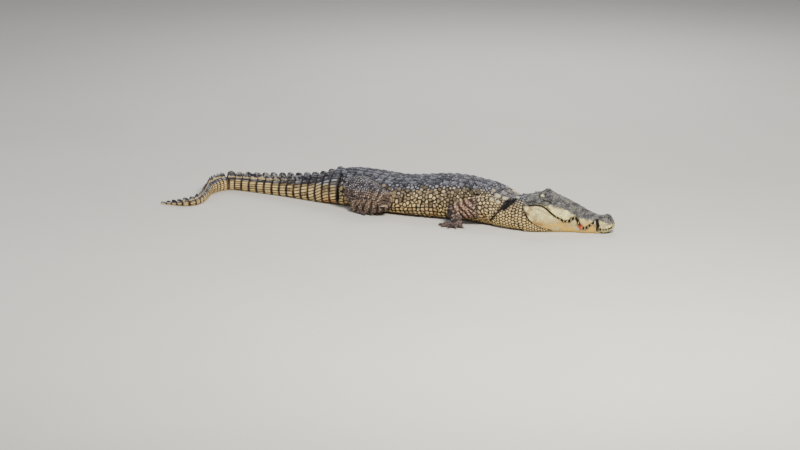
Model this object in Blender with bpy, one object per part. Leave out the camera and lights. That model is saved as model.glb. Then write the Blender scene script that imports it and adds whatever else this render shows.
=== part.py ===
"""A mugger crocodile lying at rest, life size, in metres: head to +X, its right side to -Y, the belly on z = 0."""

import math

import bmesh
import bpy
from mathutils import Vector

# How far apart two touching pieces stand.
GAP = 0.0003
# Moves the whole animal, so that its box is centred over the origin.
BOX_SHIFT = (-0.0120, 0.1181)

HEAD_LENGTH = 0.545
TRUNK_START = 0.74
TRUNK_MIDDLE = 1.30
TAIL_START = 1.93
TAIL_CUTS = (2.32, 2.74, 3.10)
TAIL_TIP = 3.45
BACK_ROW = 0.056
TAIL_ROW = 0.057
WHIP_ROW = 0.037
SCUTE_RISE = 0.006
BODY_SIDES = 18

# The line of the back on the ground: how far behind the tip of the snout, then x and y.
SPINE = (
    (0.00, 1.466, -0.032), (0.53, 0.942, -0.110), (0.65, 0.824, -0.102), (0.84, 0.642, -0.043),
    (1.06, 0.428, -0.011), (1.48, 0.000, -0.011), (1.91, -0.428, 0.000), (2.34, -0.856, 0.016),
    (2.60, -1.120, 0.018), (2.70, -1.214, 0.004), (2.78, -1.272, -0.055), (2.90, -1.289, -0.175),
    (3.04, -1.252, -0.310), (3.158, -1.226, -0.425), (3.24, -1.240, -0.505), (3.303, -1.295, -0.536),
    (3.381, -1.372, -0.545), (3.45, -1.441, -0.553),
)
# Each table below gives a size at a distance behind the tip of the snout.
BODY_WIDTH = (
    (0.545, 0.152), (0.60, 0.147), (0.68, 0.148), (0.78, 0.158), (0.86, 0.162), (1.00, 0.176),
    (1.19, 0.204), (1.34, 0.210), (1.48, 0.204), (1.60, 0.182), (1.76, 0.150), (1.95, 0.130),
    (2.07, 0.108), (2.20, 0.088), (2.34, 0.068), (2.49, 0.056), (2.63, 0.046), (2.76, 0.040),
    (2.90, 0.034), (3.10, 0.024), (3.28, 0.014), (3.45, 0.004),
)
BODY_TOP = (
    (0.545, 0.213), (0.60, 0.201), (0.66, 0.191), (0.72, 0.203), (0.78, 0.225), (0.86, 0.243), (0.95, 0.249),
    (1.06, 0.257), (1.19, 0.251), (1.34, 0.229), (1.48, 0.216), (1.60, 0.226), (1.76, 0.233),
    (1.95, 0.206), (2.07, 0.160), (2.20, 0.132), (2.34, 0.111), (2.49, 0.098), (2.63, 0.089),
    (2.76, 0.084), (2.90, 0.078), (3.04, 0.066), (3.18, 0.048), (3.32, 0.028), (3.45, 0.010),
)
WIDEST_SHARE = ((0.53, 0.42), (0.80, 0.40), (1.20, 0.40), (1.90, 0.42), (2.30, 0.40), (3.45, 0.45))
CREST_HEIGHT = (
    (1.90, 0.006), (2.07, 0.022), (2.30, 0.028), (2.60, 0.029), (2.76, 0.036), (2.90, 0.040),
    (3.05, 0.040), (3.20, 0.032), (3.34, 0.020), (3.45, 0.008),
)
CREST_SPREAD = ((1.90, 0.62), (2.20, 0.60), (2.50, 0.46), (2.70, 0.20), (2.78, 0.07), (3.45, 0.07))
TAIL_ROLL = ((2.78, 0.0), (2.95, 6.0), (3.15, 10.0), (3.45, 10.0))

JAW_WIDTH = (
    (0.000, 0.012), (0.010, 0.035), (0.030, 0.052), (0.060, 0.060), (0.088, 0.058), (0.105, 0.049),
    (0.140, 0.066), (0.180, 0.080), (0.235, 0.079), (0.290, 0.091), (0.370, 0.118), (0.440, 0.140),
    (0.500, 0.153), (0.545, 0.157),
)
LOWER_WIDTH = (
    (0.012, 0.022), (0.030, 0.040), (0.060, 0.0505), (0.088, 0.049), (0.107, 0.061), (0.124, 0.0545),
    (0.180, 0.0705), (0.235, 0.0695), (0.290, 0.0815), (0.370, 0.109), (0.440, 0.133), (0.500, 0.147),
    (0.545, 0.152),
)
MOUTH_LINE = (
    (0.000, 0.050), (0.015, 0.040), (0.036, 0.032), (0.075, 0.030), (0.086, 0.047), (0.097, 0.078),
    (0.107, 0.085), (0.125, 0.070), (0.141, 0.056), (0.175, 0.036), (0.200, 0.050), (0.219, 0.080),
    (0.234, 0.097), (0.254, 0.091), (0.276, 0.076), (0.300, 0.075), (0.321, 0.089), (0.350, 0.105),
    (0.377, 0.128), (0.407, 0.158), (0.440, 0.176), (0.480, 0.180), (0.512, 0.176), (0.545, 0.174),
)
JAW_UNDER = ((0.000, 0.036), (0.012, 0.028), (0.030, 0.016), (0.050, 0.007), (0.085, 0.000))
HEAD_TOP = (
    (0.000, 0.062), (0.010, 0.086), (0.022, 0.102), (0.045, 0.121), (0.075, 0.114), (0.100, 0.111),
    (0.125, 0.117), (0.163, 0.131), (0.235, 0.168), (0.300, 0.199), (0.340, 0.215), (0.370, 0.222),
    (0.400, 0.224), (0.440, 0.223), (0.480, 0.217), (0.545, 0.213),
)
SIDE_POWER = ((0.00, 2.2), (0.10, 2.3), (0.28, 2.0), (0.36, 1.6), (0.43, 1.35), (0.545, 1.45))
TOP_POWER = ((0.00, 2.2), (0.10, 2.2), (0.28, 2.0), (0.36, 2.4), (0.43, 3.8), (0.545, 3.8))
HEAD_STATIONS = (
    0.004, 0.012, 0.025, 0.040, 0.058, 0.076, 0.086, 0.097, 0.107, 0.122, 0.140, 0.160, 0.180, 0.200,
    0.219, 0.238, 0.262, 0.290, 0.320, 0.350, 0.380, 0.404, 0.420, 0.434, 0.446, 0.458, 0.472, 0.490,
    0.515,
)
EYE_PLACE = (0.445, 0.068, 0.219)
EYE_RADIUS = 0.020
# Where each upper tooth stands behind the tip, and how far it hangs.
UPPER_TEETH = (
    (0.034, 0.009), (0.050, 0.011), (0.068, 0.013), (0.084, 0.010), (0.137, 0.009), (0.153, 0.011),
    (0.171, 0.014), (0.190, 0.016), (0.212, 0.012), (0.236, 0.010), (0.258, 0.010), (0.280, 0.011),
    (0.302, 0.010), (0.324, 0.009), (0.346, 0.008),
)

# Limbs of the right side: x, y, z, half the width, half the height.
UPPER_ARM = (
    (0.668, -0.165, 0.112, 0.070, 0.070), (0.618, -0.196, 0.114, 0.066, 0.070),
    (0.548, -0.224, 0.101, 0.055, 0.058), (0.474, -0.240, 0.090, 0.045, 0.047),
)
FOREARM = (
    (0.468, -0.248, 0.088, 0.039, 0.041), (0.490, -0.266, 0.060, 0.038, 0.039),
    (0.514, -0.286, 0.032, 0.033, 0.028),
)
PALM = ((0.526, -0.282, 0.022, 0.031, 0.022), (0.502, -0.310, 0.015, 0.041, 0.016), (0.480, -0.324, 0.011, 0.032, 0.012))
FINGER_TIPS = ((0.394, -0.322), (0.428, -0.356), (0.482, -0.374), (0.540, -0.362), (0.578, -0.328))
THIGH = (
    (-0.300, -0.134, 0.118, 0.072, 0.082), (-0.215, -0.164, 0.128, 0.080, 0.090),
    (-0.110, -0.202, 0.117, 0.073, 0.080), (-0.016, -0.238, 0.094, 0.056, 0.062),
)
SHANK = (
    (-0.014, -0.247, 0.082, 0.045, 0.050), (-0.080, -0.252, 0.070, 0.047, 0.051),
    (-0.155, -0.242, 0.060, 0.041, 0.045), (-0.225, -0.220, 0.046, 0.031, 0.035),
)
SOLE = ((-0.240, -0.214, 0.022, 0.026, 0.022), (-0.190, -0.228, 0.014, 0.032, 0.015), (-0.150, -0.238, 0.011, 0.036, 0.012))
TOE_TIPS = ((-0.062, -0.206), (-0.058, -0.238), (-0.078, -0.268), (-0.118, -0.292))
DIGIT_RADIUS = 0.0105
CLAW_LENGTH = 0.026
# The far limbs are the near ones turned over this line, each set a little on from it.
SHOULDER_LINE = -0.030
HIP_LINE = -0.006
FAR_ARM_STEP = 0.035
FAR_LEG_STEP = -0.020


def slope(table, i):
    """The slope at the table's row i that never overshoots its neighbours."""
    rise = [(b[1] - a[1]) / (b[0] - a[0]) for a, b in zip(table, table[1:])]
    if i == 0 or i == len(table) - 1:
        return rise[0] if i == 0 else rise[-1]
    before, after = rise[i - 1], rise[i]
    return 0.0 if before * after <= 0 else 2 * before * after / (before + after)


def hermite(a, b, slope_a, slope_b, length, t):
    cubic = 2 * t**3 - 3 * t**2 + 1, t**3 - 2 * t**2 + t, 3 * t**2 - 2 * t**3, t**3 - t**2
    return cubic[0] * a + cubic[1] * length * slope_a + cubic[2] * b + cubic[3] * length * slope_b


def along(table, s):
    """The size a table gives at s, joined smoothly from row to row."""
    if s <= table[0][0]:
        return table[0][1]
    if s >= table[-1][0]:
        return table[-1][1]
    i = max(k for k in range(len(table) - 1) if table[k][0] <= s)
    length = table[i + 1][0] - table[i][0]
    t = (s - table[i][0]) / length
    return hermite(table[i][1], table[i + 1][1], slope(table, i), slope(table, i + 1), length, t)


def spine_slope(i, axis):
    """The head is straight; behind it each point's direction runs from its neighbour to its neighbour."""
    low, high = (0, 1) if i <= 1 else (i - 1, min(i + 1, len(SPINE) - 1))
    return (SPINE[high][axis] - SPINE[low][axis]) / (SPINE[high][0] - SPINE[low][0])


def spine_point(s):
    i = max(k for k in range(len(SPINE) - 1) if SPINE[k][0] <= max(s, 0.0))
    length = SPINE[i + 1][0] - SPINE[i][0]
    t = (s - SPINE[i][0]) / length
    return [
        hermite(SPINE[i][axis], SPINE[i + 1][axis], spine_slope(i, axis), spine_slope(i + 1, axis), length, t)
        for axis in (1, 2)
    ]


def stand(s, section):
    """Stands a flat section of (left, up) points across the spine, rolled with the tail and lowered to the floor."""
    x, y = spine_point(s)
    nose, rear = spine_point(s - 0.004), spine_point(s + 0.004)
    forward = Vector((nose[0] - rear[0], nose[1] - rear[1])).normalized()
    roll = math.radians(along(TAIL_ROLL, s))
    turned = [(a * math.cos(roll) - b * math.sin(roll), a * math.sin(roll) + b * math.cos(roll)) for a, b in section]
    low = min(b for _, b in turned) + 0.002 * math.sin(roll)
    return [
        (x - forward.y * a + BOX_SHIFT[0], y + forward.x * a + BOX_SHIFT[1], max(b - low, 0.0) if roll else b)
        for a, b in turned
    ]


def mix(a, b, share):
    return a + (b - a) * share


def signed_power(value, power):
    return math.copysign(abs(value) ** power, value)


def round_section(s, angles, keels):
    """The rounded section of the neck and trunk, flat where it lies on the floor, with keels along the back."""
    width, top = along(BODY_WIDTH, s), along(BODY_TOP, s)
    widest = top * along(WIDEST_SHARE, s)
    row = ((s - TRUNK_START) / BACK_ROW) % 1.0
    points = []
    for i, angle in enumerate(angles):
        across, up = math.cos(angle), math.sin(angle)
        side = width * signed_power(across, 2 / 2.35)
        if up < 0:
            height = widest - (widest + 0.008) * abs(up) ** (2 / 2.8)
        else:
            height = widest + (top - widest) * up ** (2 / 2.15)
            height += keels * SCUTE_RISE * row * (0.35 + 0.65 * (i % 2)) * (up > 0.5)
        points.append((side, max(height, 0.0)))
    return points


def round_angles(sides):
    return [2 * math.pi * k / sides for k in range(sides)]


def tail_section(s, row):
    """The tail's section, with two crests of upright scutes that draw together into one behind the bend."""
    width, body = along(BODY_WIDTH, s), along(BODY_TOP, s)
    tip = body + along(CREST_HEIGHT, s) * row
    spread = width * along(CREST_SPREAD, s)
    trough = body if s > TAIL_CUTS[1] else body - 0.3 * along(CREST_HEIGHT, s)
    half = [
        (0.70 * width, 0.0), (width, 0.30 * body), (0.94 * width, 0.66 * body),
        (max(spread + 0.10 * width, 0.56 * width), 0.90 * body), (spread, tip), (0.45 * spread, trough),
    ]
    crest = [(0.0, tip if s > TAIL_CUTS[1] else trough)]
    ring = [(0.0, 0.0)] + half + crest + [(-a, b) for a, b in reversed(half)]
    blend = min(max((s - TAIL_START) / 0.22, 0.0), 1.0)
    if blend == 1.0:
        return ring
    angles = [math.atan2(b - 0.4 * body, a) for a, b in ring]
    smooth = round_section(s, angles, 0.0)
    return [(c + (a - c) * blend, d + (b - d) * blend) for (a, b), (c, d) in zip(ring, smooth)]


def bump(distance, reach):
    return math.exp(-((distance / reach) ** 2))


def head_section(s):
    """The skull and upper jaw above the line of the mouth, with the brows raised over the eyes."""
    width, mouth, top = along(JAW_WIDTH, s), along(MOUTH_LINE, s), along(HEAD_TOP, s)
    ring = []
    for k in range(13):
        angle = math.pi * k / 12
        side = width * signed_power(math.cos(angle), 2 / along(SIDE_POWER, s))
        height = mouth + (top - mouth) * math.sin(angle) ** (2 / along(TOP_POWER, s)) if 0 < k < 12 else mouth
        brow = bump(s - EYE_PLACE[0] + 0.005, 0.034) * bump(abs(side) - 0.055, 0.020)
        height += (0.026 * brow - 0.008 * bump(s - EYE_PLACE[0], 0.05) * bump(side, 0.025)) * (0 < k < 12)
        ring.append((side, height))
    return ring + [(-0.5 * width, mouth), (0.0, mouth), (0.5 * width, mouth)]


def jaw_section(s):
    """The lower jaw, from just under the line of the mouth down to the floor."""
    width, mouth, under = along(LOWER_WIDTH, s), along(MOUTH_LINE, s) - GAP - 0.0003, along(JAW_UNDER, s)
    half = [(0.72 * width, under), (0.94 * width, mix(under, mouth, 0.16)), (1.01 * width, mix(under, mouth, 0.55)), (width, mouth)]
    ring = [(0.0, under)] + half + [(0.5 * width, mouth), (0.0, mouth), (-0.5 * width, mouth)]
    return ring + [(-a, b) for a, b in reversed(half)]


def collection(name):
    made = bpy.data.collections.new(name)
    bpy.context.scene.collection.children.link(made)
    return made


def material(name, colour, roughness):
    made = bpy.data.materials.new(name)
    made.use_nodes = True
    shader = made.node_tree.nodes["Principled BSDF"]
    shader.inputs["Base Color"].default_value = (*colour, 1.0)
    shader.inputs["Roughness"].default_value = roughness
    return made


def solid(name, points, faces, where, colour, roughness=0.6):
    """One object from points and faces, every face turned outward."""
    mesh = bpy.data.meshes.new(name)
    mesh.from_pydata(points, [], faces)
    shape = bmesh.new()
    shape.from_mesh(mesh)
    bmesh.ops.recalc_face_normals(shape, faces=shape.faces)
    bmesh.ops.triangulate(shape, faces=shape.faces)
    shape.to_mesh(mesh)
    shape.free()
    made = bpy.data.objects.new(name, mesh)
    if colour:
        mesh.materials.append(material(name, colour, roughness))
    else:
        made.hide_render = True
        made.display_type = "WIRE"
    where.objects.link(made)
    return made


def loft_faces(rings, first=0, pointed=False):
    """The quads between rings of equal length, with a face over each end, or a fan where the last is a point."""
    sides = len(rings[0])
    whole = len(rings) - (1 if pointed else 0)
    faces = [tuple(range(first, first + sides))]
    for i in range(whole - 1):
        a, b = first + i * sides, first + (i + 1) * sides
        faces += [(a + k, a + (k + 1) % sides, b + (k + 1) % sides, b + k) for k in range(sides)]
    last = first + (whole - 1) * sides
    if pointed:
        faces += [(last + k, last + (k + 1) % sides, last + sides) for k in range(sides)]
    else:
        faces.append(tuple(range(last, last + sides)))
    return faces


def loft(name, rings, where, colour, pointed=False, roughness=0.6):
    points = [point for ring in rings for point in ring]
    return solid(name, points, loft_faces(rings, 0, pointed), where, colour, roughness)


def grown(shape, where, amount=0.0005):
    """A cutter: the shape with every corner moved out along its normal."""
    mesh = shape.data.copy()
    for vertex, normal in zip(mesh.vertices, [v.normal.copy() for v in mesh.vertices]):
        vertex.co += normal * amount
    cutter = bpy.data.objects.new("grown " + shape.name, mesh)
    cutter.hide_render = True
    cutter.display_type = "WIRE"
    where.objects.link(cutter)
    return cutter


def combine(shape, other, operation, reason):
    modifier = shape.modifiers.new(reason, "BOOLEAN")
    modifier.operation = operation
    modifier.solver = "EXACT"
    modifier.object = other


def tube_ring(centre, tangent, wide, high, sides):
    """A ring across the tangent, never below the floor."""
    across = tangent.cross(Vector((0, 0, 1))).normalized()
    upright = across.cross(tangent).normalized()
    ring = []
    for k in range(sides):
        angle = 2 * math.pi * (k + 0.5) / sides
        point = centre + across * (wide * math.cos(angle)) + upright * (high * math.sin(angle))
        ring.append((point.x + BOX_SHIFT[0], point.y + BOX_SHIFT[1], max(point.z, 0.0)))
    return ring


def tube(path, sides, rounding=((0.35, 0.92), (0.75, 0.62)), both=True):
    """Rings along a path of (x, y, z, half width, half height), rounded at its end and, as a rule, its start."""
    centres = [Vector(row[:3]) for row in path]
    rings = []
    for i, row in enumerate(path):
        tangent = (centres[min(i + 1, len(path) - 1)] - centres[max(i - 1, 0)]).normalized()
        ends = [(0.0, 1.0)]
        if i == 0 and both:
            ends = [(-step, share) for step, share in reversed(rounding)] + ends
        if i == len(path) - 1:
            ends = ends + list(rounding)
        for step, share in ends:
            centre = centres[i] + tangent * (step * min(row[3], row[4]))
            rings.append(tube_ring(centre, tangent, row[3] * share, row[4] * share, sides))
    return rings


def turned_over(path, line, step):
    """A path of the right side turned to the left side, its upper lengths kept lower and slimmer."""
    turned = []
    for x, y, *rest in path:
        if len(rest) == 3 and rest[0] > 0.06:
            rest = [0.06 + 0.6 * (rest[0] - 0.06), 0.9 * rest[1], 0.88 * rest[2]]
        turned.append((x + step, 2 * line - y, *rest))
    return turned


def claw_rings(root, tip):
    """A curved claw, from inside the end of a digit down to the floor."""
    direction = (tip - root).normalized()
    rings = []
    for step, radius, drop in ((0.0, 0.0062, 0.0), (0.55, 0.0048, 0.001)):
        centre = root + direction * (CLAW_LENGTH * step) - Vector((0, 0, drop))
        rings.append(tube_ring(centre, direction, radius * 0.8, radius, 5))
    end = root + direction * CLAW_LENGTH
    return rings + [[(end.x + BOX_SHIFT[0], end.y + BOX_SHIFT[1], 0.0015)]]


def add_digits(paw, side, what, root, tips, clawed, parts, helpers, colour):
    """Joins digits to a paw, and gives the inner ones claws set into their ends."""
    for i, (x, y) in enumerate(tips):
        base = Vector((root[0] + 0.25 * (x - root[0]), root[1] + 0.25 * (y - root[1]), 0.012))
        end = Vector((x, y, 0.0085))
        direction = (end - base).normalized()
        tip = end - direction * (0.012 if i in clawed else 0.006)
        middle = base.lerp(tip, 0.55) + Vector((0, 0, 0.004))
        path = [
            (*base, DIGIT_RADIUS * 1.15, 0.0115), (*middle, DIGIT_RADIUS, 0.0118), (*tip, DIGIT_RADIUS * 0.82, 0.0088),
        ]
        digit = loft(f"{what} digit {i + 1} {side}", tube(path, 5, ((0.7, 0.62),), False), helpers, None)
        combine(paw, digit, "UNION", f"digit {i + 1}")
    for i in clawed:
        end = Vector((*tips[i], 0.009))
        direction = (end - Vector((*root[:2], 0.009))).normalized()
        rings = claw_rings(end - direction * 0.018, end)
        claw = loft(f"{what}_claw_{i + 1}_{side}", rings, parts, (0.10, 0.09, 0.07), True, 0.35)
        combine(paw, grown(claw, helpers, 0.0004), "DIFFERENCE", f"room for claw {i + 1}")


def build_limb(side, what, paths, tips, clawed, near, parts, helpers):
    """Three lengths of a limb, each fitted against the one above it and the trunk."""
    names, colours = {"arm": ("upper_arm", "forearm", "hand"), "leg": ("thigh", "shank", "foot")}[what], (
        (0.30, 0.24, 0.20), (0.24, 0.19, 0.17), (0.17, 0.14, 0.13),
    )
    bodies = [grown(piece, helpers) for piece in near]
    above = []
    for name, path, colour, sides in zip(names, paths, colours, (12, 10, 8)):
        paw = name in ("hand", "foot")
        rings = tube(path, sides, ((0.6, 0.75),)) if paw else tube(path, sides)
        piece = loft(f"{name}_{side}", rings, parts, colour)
        if paw:
            add_digits(piece, side, name, path[1], tips, clawed, parts, helpers, colour)
        else:
            for body in bodies[:1] if name in ("forearm", "shank") else bodies:
                combine(piece, body, "DIFFERENCE", "fitted to the body")
        for neighbour in above[-1:]:
            combine(piece, neighbour, "DIFFERENCE", "fitted to the length above")
        above.append(grown(piece, helpers))


def build_head(parts, helpers):
    stations = HEAD_STATIONS + (HEAD_LENGTH - GAP / 2,)
    head = loft("head", [stand(s, head_section(s)) for s in stations], parts, (0.20, 0.21, 0.17))
    jaw = loft("lower_jaw", [stand(s, jaw_section(s)) for s in stations[1:]], parts, (0.45, 0.42, 0.30))
    for side, sign in (("right", -1), ("left", 1)):
        centre = Vector(stand(EYE_PLACE[0], [(sign * EYE_PLACE[1], EYE_PLACE[2])])[0])
        eye = ball(f"eye_{side}", centre, EYE_RADIUS, parts, (0.25, 0.20, 0.06))
        socket = ball(f"socket {side}", centre, EYE_RADIUS + 0.0006, helpers, None)
        combine(head, socket, "DIFFERENCE", f"{side} socket")
        teeth = teeth_points(sign)
        combine(head, loft_many(f"upper teeth {side}", teeth, helpers), "UNION", f"{side} teeth")
        fourth = tooth_rings(0.107, sign * 0.0575, 0.062, 0.030, 0.0042)
        combine(jaw, loft_many(f"fourth tooth {side}", [fourth], helpers), "UNION", f"{side} fourth tooth")


def ball(name, centre, radius, where, colour):
    shape = bmesh.new()
    bmesh.ops.create_uvsphere(shape, u_segments=10, v_segments=7, radius=radius)
    bmesh.ops.translate(shape, vec=centre, verts=shape.verts)
    mesh = bpy.data.meshes.new(name)
    shape.to_mesh(mesh)
    points = [tuple(v.co) for v in mesh.vertices]
    faces = [tuple(f.vertices) for f in mesh.polygons]
    shape.free()
    return solid(name, points, faces, where, colour, 0.15)


def tooth_rings(s, side, root, reach, radius):
    """A pointed tooth at s, reaching down from its root, or up where the reach is above nought."""
    corners = [(math.cos(math.pi * k / 2), math.sin(math.pi * k / 2)) for k in range(4)]
    ring = [stand(s + radius * a, [(side + radius * b, root)])[0] for a, b in corners]
    return [ring, [stand(s, [(side, root + reach)])[0]]]


def teeth_points(sign):
    rows = []
    for s, hang in UPPER_TEETH:
        radius = 0.0022 + 0.05 * (hang - 0.008)
        side = sign * (along(JAW_WIDTH, s) - 0.0045)
        rows.append(tooth_rings(s, side, along(MOUTH_LINE, s) + 0.005, -hang - 0.005, radius))
    return rows


def loft_many(name, rows, where):
    """Several separate pointed lofts as one cutter."""
    points, faces = [], []
    for rings in rows:
        faces += loft_faces(rings, len(points), True)
        points += [point for ring in rings for point in ring]
    return solid(name, points, faces, where, None)


def row_stations(start, end, row, first):
    """Where the rows of scutes rise and fall between two cuts."""
    stations = [(start + GAP / 2, 0.0)]
    k = 0
    while first + k * row < end - 0.25 * row:
        low, high = first + k * row, first + (k + 0.78) * row
        stations += [(s, lift) for s, lift in ((low, 0.12), (high, 1.0)) if start + 0.006 < s < end - 0.006]
        k += 1
    return stations + [(end - GAP / 2, 0.5)]


def build_body(parts):
    """The neck and the two lengths of trunk."""
    angles = round_angles(BODY_SIDES)
    neck_stations = [HEAD_LENGTH + GAP / 2, 0.57, 0.595, 0.62, 0.645, 0.672, 0.70, 0.72, TRUNK_START - GAP / 2]
    neck = loft("neck", [stand(s, round_section(s, angles, 0.6)) for s in neck_stations], parts, (0.22, 0.22, 0.17))
    lengths = []
    for name, start, end in (
        ("trunk_front", TRUNK_START, TRUNK_MIDDLE), ("trunk_rear", TRUNK_MIDDLE, TAIL_START),
    ):
        rows = [s for s, _ in row_stations(start, end, BACK_ROW, TRUNK_START + 0.02 * BACK_ROW)]
        rings = [stand(s, round_section(s, angles, 1.0)) for s in rows]
        lengths.append(loft(name, rings, parts, (0.24, 0.24, 0.18)))
    return [neck] + lengths


def build_tail(parts):
    cuts = (TAIL_START,) + TAIL_CUTS + (TAIL_TIP,)
    names = ("tail_base", "tail_middle", "tail_bend", "tail_end")
    for name, start, end in zip(names, cuts, cuts[1:]):
        row = TAIL_ROW if end <= TAIL_CUTS[1] else WHIP_ROW
        first = TAIL_START if row == TAIL_ROW else TAIL_CUTS[1]
        rings = [stand(s, tail_section(s, lift)) for s, lift in row_stations(start, end, row, first)]
        loft(name, rings, parts, (0.26, 0.26, 0.19))


def build_limbs(neck, trunk_front, trunk_rear, parts, helpers):
    arm, leg = (UPPER_ARM, FOREARM, PALM), (THIGH, SHANK, SOLE)
    build_limb("right", "arm", arm, FINGER_TIPS, (2, 3, 4), (trunk_front, neck), parts, helpers)
    build_limb("right", "leg", leg, TOE_TIPS, (0, 1, 2), (trunk_rear,), parts, helpers)
    far_arm = [turned_over(path, SHOULDER_LINE, FAR_ARM_STEP) for path in arm]
    far_leg = [turned_over(path, HIP_LINE, FAR_LEG_STEP) for path in leg]
    far_fingers = turned_over(FINGER_TIPS, SHOULDER_LINE, FAR_ARM_STEP)
    far_toes = turned_over(TOE_TIPS, HIP_LINE, FAR_LEG_STEP)
    build_limb("left", "arm", far_arm, far_fingers, (2, 3, 4), (trunk_front, neck), parts, helpers)
    build_limb("left", "leg", far_leg, far_toes, (0, 1, 2), (trunk_rear,), parts, helpers)


def build_crocodile():
    for old in list(bpy.data.objects):
        bpy.data.objects.remove(old, do_unlink=True)
    parts, helpers = collection("crocodile"), collection("cutters")
    build_head(parts, helpers)
    neck, trunk_front, trunk_rear = build_body(parts)
    build_tail(parts)
    build_limbs(neck, trunk_front, trunk_rear, parts, helpers)


build_crocodile()
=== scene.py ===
"""The looks of the mugger crocodile: hide, scutes, teeth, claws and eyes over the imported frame, in metres."""

import math

import bpy
import numpy as np
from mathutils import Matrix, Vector
from mathutils.bvhtree import BVHTree


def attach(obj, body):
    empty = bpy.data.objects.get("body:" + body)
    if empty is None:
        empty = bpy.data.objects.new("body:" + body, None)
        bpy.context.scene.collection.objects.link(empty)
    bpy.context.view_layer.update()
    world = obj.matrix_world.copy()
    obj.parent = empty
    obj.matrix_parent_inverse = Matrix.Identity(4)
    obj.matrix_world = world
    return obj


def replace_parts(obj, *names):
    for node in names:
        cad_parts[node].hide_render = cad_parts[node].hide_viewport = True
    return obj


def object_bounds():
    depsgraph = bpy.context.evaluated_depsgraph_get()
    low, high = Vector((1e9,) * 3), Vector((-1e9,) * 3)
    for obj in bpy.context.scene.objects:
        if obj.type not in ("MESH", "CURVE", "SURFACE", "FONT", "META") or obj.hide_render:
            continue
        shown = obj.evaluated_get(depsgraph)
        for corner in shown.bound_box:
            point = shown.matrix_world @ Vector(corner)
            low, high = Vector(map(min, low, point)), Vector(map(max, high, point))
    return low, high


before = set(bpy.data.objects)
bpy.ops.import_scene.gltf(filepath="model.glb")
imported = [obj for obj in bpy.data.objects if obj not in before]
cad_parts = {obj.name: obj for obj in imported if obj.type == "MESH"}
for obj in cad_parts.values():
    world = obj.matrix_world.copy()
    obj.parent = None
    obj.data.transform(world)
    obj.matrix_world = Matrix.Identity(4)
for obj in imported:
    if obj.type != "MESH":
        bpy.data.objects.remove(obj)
cad_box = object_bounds()

# ---- Sizes. Distances along the body run from the tip of the snout. ----
HEAD_LENGTH = 0.545
BOX_SHIFT = (-0.0120, 0.1181)
HIDE_INSET = 0.003
# The hide is cut off this far inside the upper ends of the solids' box, and the scutes at this height.
BOX_MARGIN = 0.0006
SCUTE_TOP = 0.2588
CELL = 0.005
ROUND = 96
NAPE_END, NECK_END = 0.745, 0.945
BACK_ROW = 0.056
BACK_START, BACK_END = 0.815, 1.905
TAIL_START = 1.93
TAIL_ROW = 0.057
WHIP_START = 2.74
WHIP_ROW = 0.037
TAIL_TIP = 3.45
EYE_PLACE = (0.445, 0.068, 0.219)
EYE_RADIUS = 0.020
DIGIT_RADIUS = 0.0105
SHOULDER_LINE, HIP_LINE = -0.030, -0.006
FAR_ARM_STEP, FAR_LEG_STEP = 0.035, -0.020

SPINE = (
    (0.00, 1.466, -0.032), (0.53, 0.942, -0.110), (0.65, 0.824, -0.102), (0.84, 0.642, -0.043),
    (1.06, 0.428, -0.011), (1.48, 0.000, -0.011), (1.91, -0.428, 0.000), (2.34, -0.856, 0.016),
    (2.60, -1.120, 0.018), (2.70, -1.214, 0.004), (2.78, -1.272, -0.055), (2.90, -1.289, -0.175),
    (3.04, -1.252, -0.310), (3.158, -1.226, -0.425), (3.24, -1.240, -0.505), (3.303, -1.295, -0.536),
    (3.381, -1.372, -0.545), (3.45, -1.441, -0.553),
)
BODY_WIDTH = (
    (0.545, 0.152), (0.60, 0.147), (0.68, 0.148), (0.78, 0.158), (0.86, 0.162), (1.00, 0.176),
    (1.19, 0.204), (1.34, 0.210), (1.48, 0.204), (1.60, 0.182), (1.76, 0.150), (1.95, 0.130),
    (2.07, 0.108), (2.20, 0.088), (2.34, 0.068), (2.49, 0.056), (2.63, 0.046), (2.76, 0.040),
    (2.90, 0.034), (3.10, 0.024), (3.28, 0.014), (3.45, 0.004),
)
BODY_TOP = (
    (0.545, 0.213), (0.60, 0.201), (0.66, 0.191), (0.72, 0.203), (0.78, 0.225), (0.86, 0.243), (0.95, 0.249),
    (1.06, 0.257), (1.19, 0.251), (1.34, 0.229), (1.48, 0.216), (1.60, 0.226), (1.76, 0.233),
    (1.95, 0.206), (2.07, 0.160), (2.20, 0.132), (2.34, 0.111), (2.49, 0.098), (2.63, 0.089),
    (2.76, 0.084), (2.90, 0.078), (3.04, 0.066), (3.18, 0.048), (3.32, 0.028), (3.45, 0.010),
)
WIDEST_SHARE = ((0.53, 0.42), (0.80, 0.40), (1.20, 0.40), (1.90, 0.42), (2.30, 0.40), (3.45, 0.45))
CREST_HEIGHT = (
    (1.90, 0.006), (2.07, 0.022), (2.30, 0.028), (2.60, 0.029), (2.76, 0.036), (2.90, 0.040),
    (3.05, 0.040), (3.20, 0.032), (3.34, 0.020), (3.45, 0.008),
)
CREST_SPREAD = ((1.90, 0.62), (2.20, 0.60), (2.50, 0.46), (2.70, 0.20), (2.78, 0.07), (3.45, 0.07))
TAIL_ROLL = ((2.78, 0.0), (2.95, 6.0), (3.15, 10.0), (3.45, 10.0))
JAW_WIDTH = (
    (0.000, 0.012), (0.010, 0.035), (0.030, 0.052), (0.060, 0.060), (0.088, 0.058), (0.105, 0.049),
    (0.140, 0.066), (0.180, 0.080), (0.235, 0.079), (0.290, 0.091), (0.370, 0.118), (0.440, 0.140),
    (0.500, 0.153), (0.545, 0.157),
)
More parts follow.
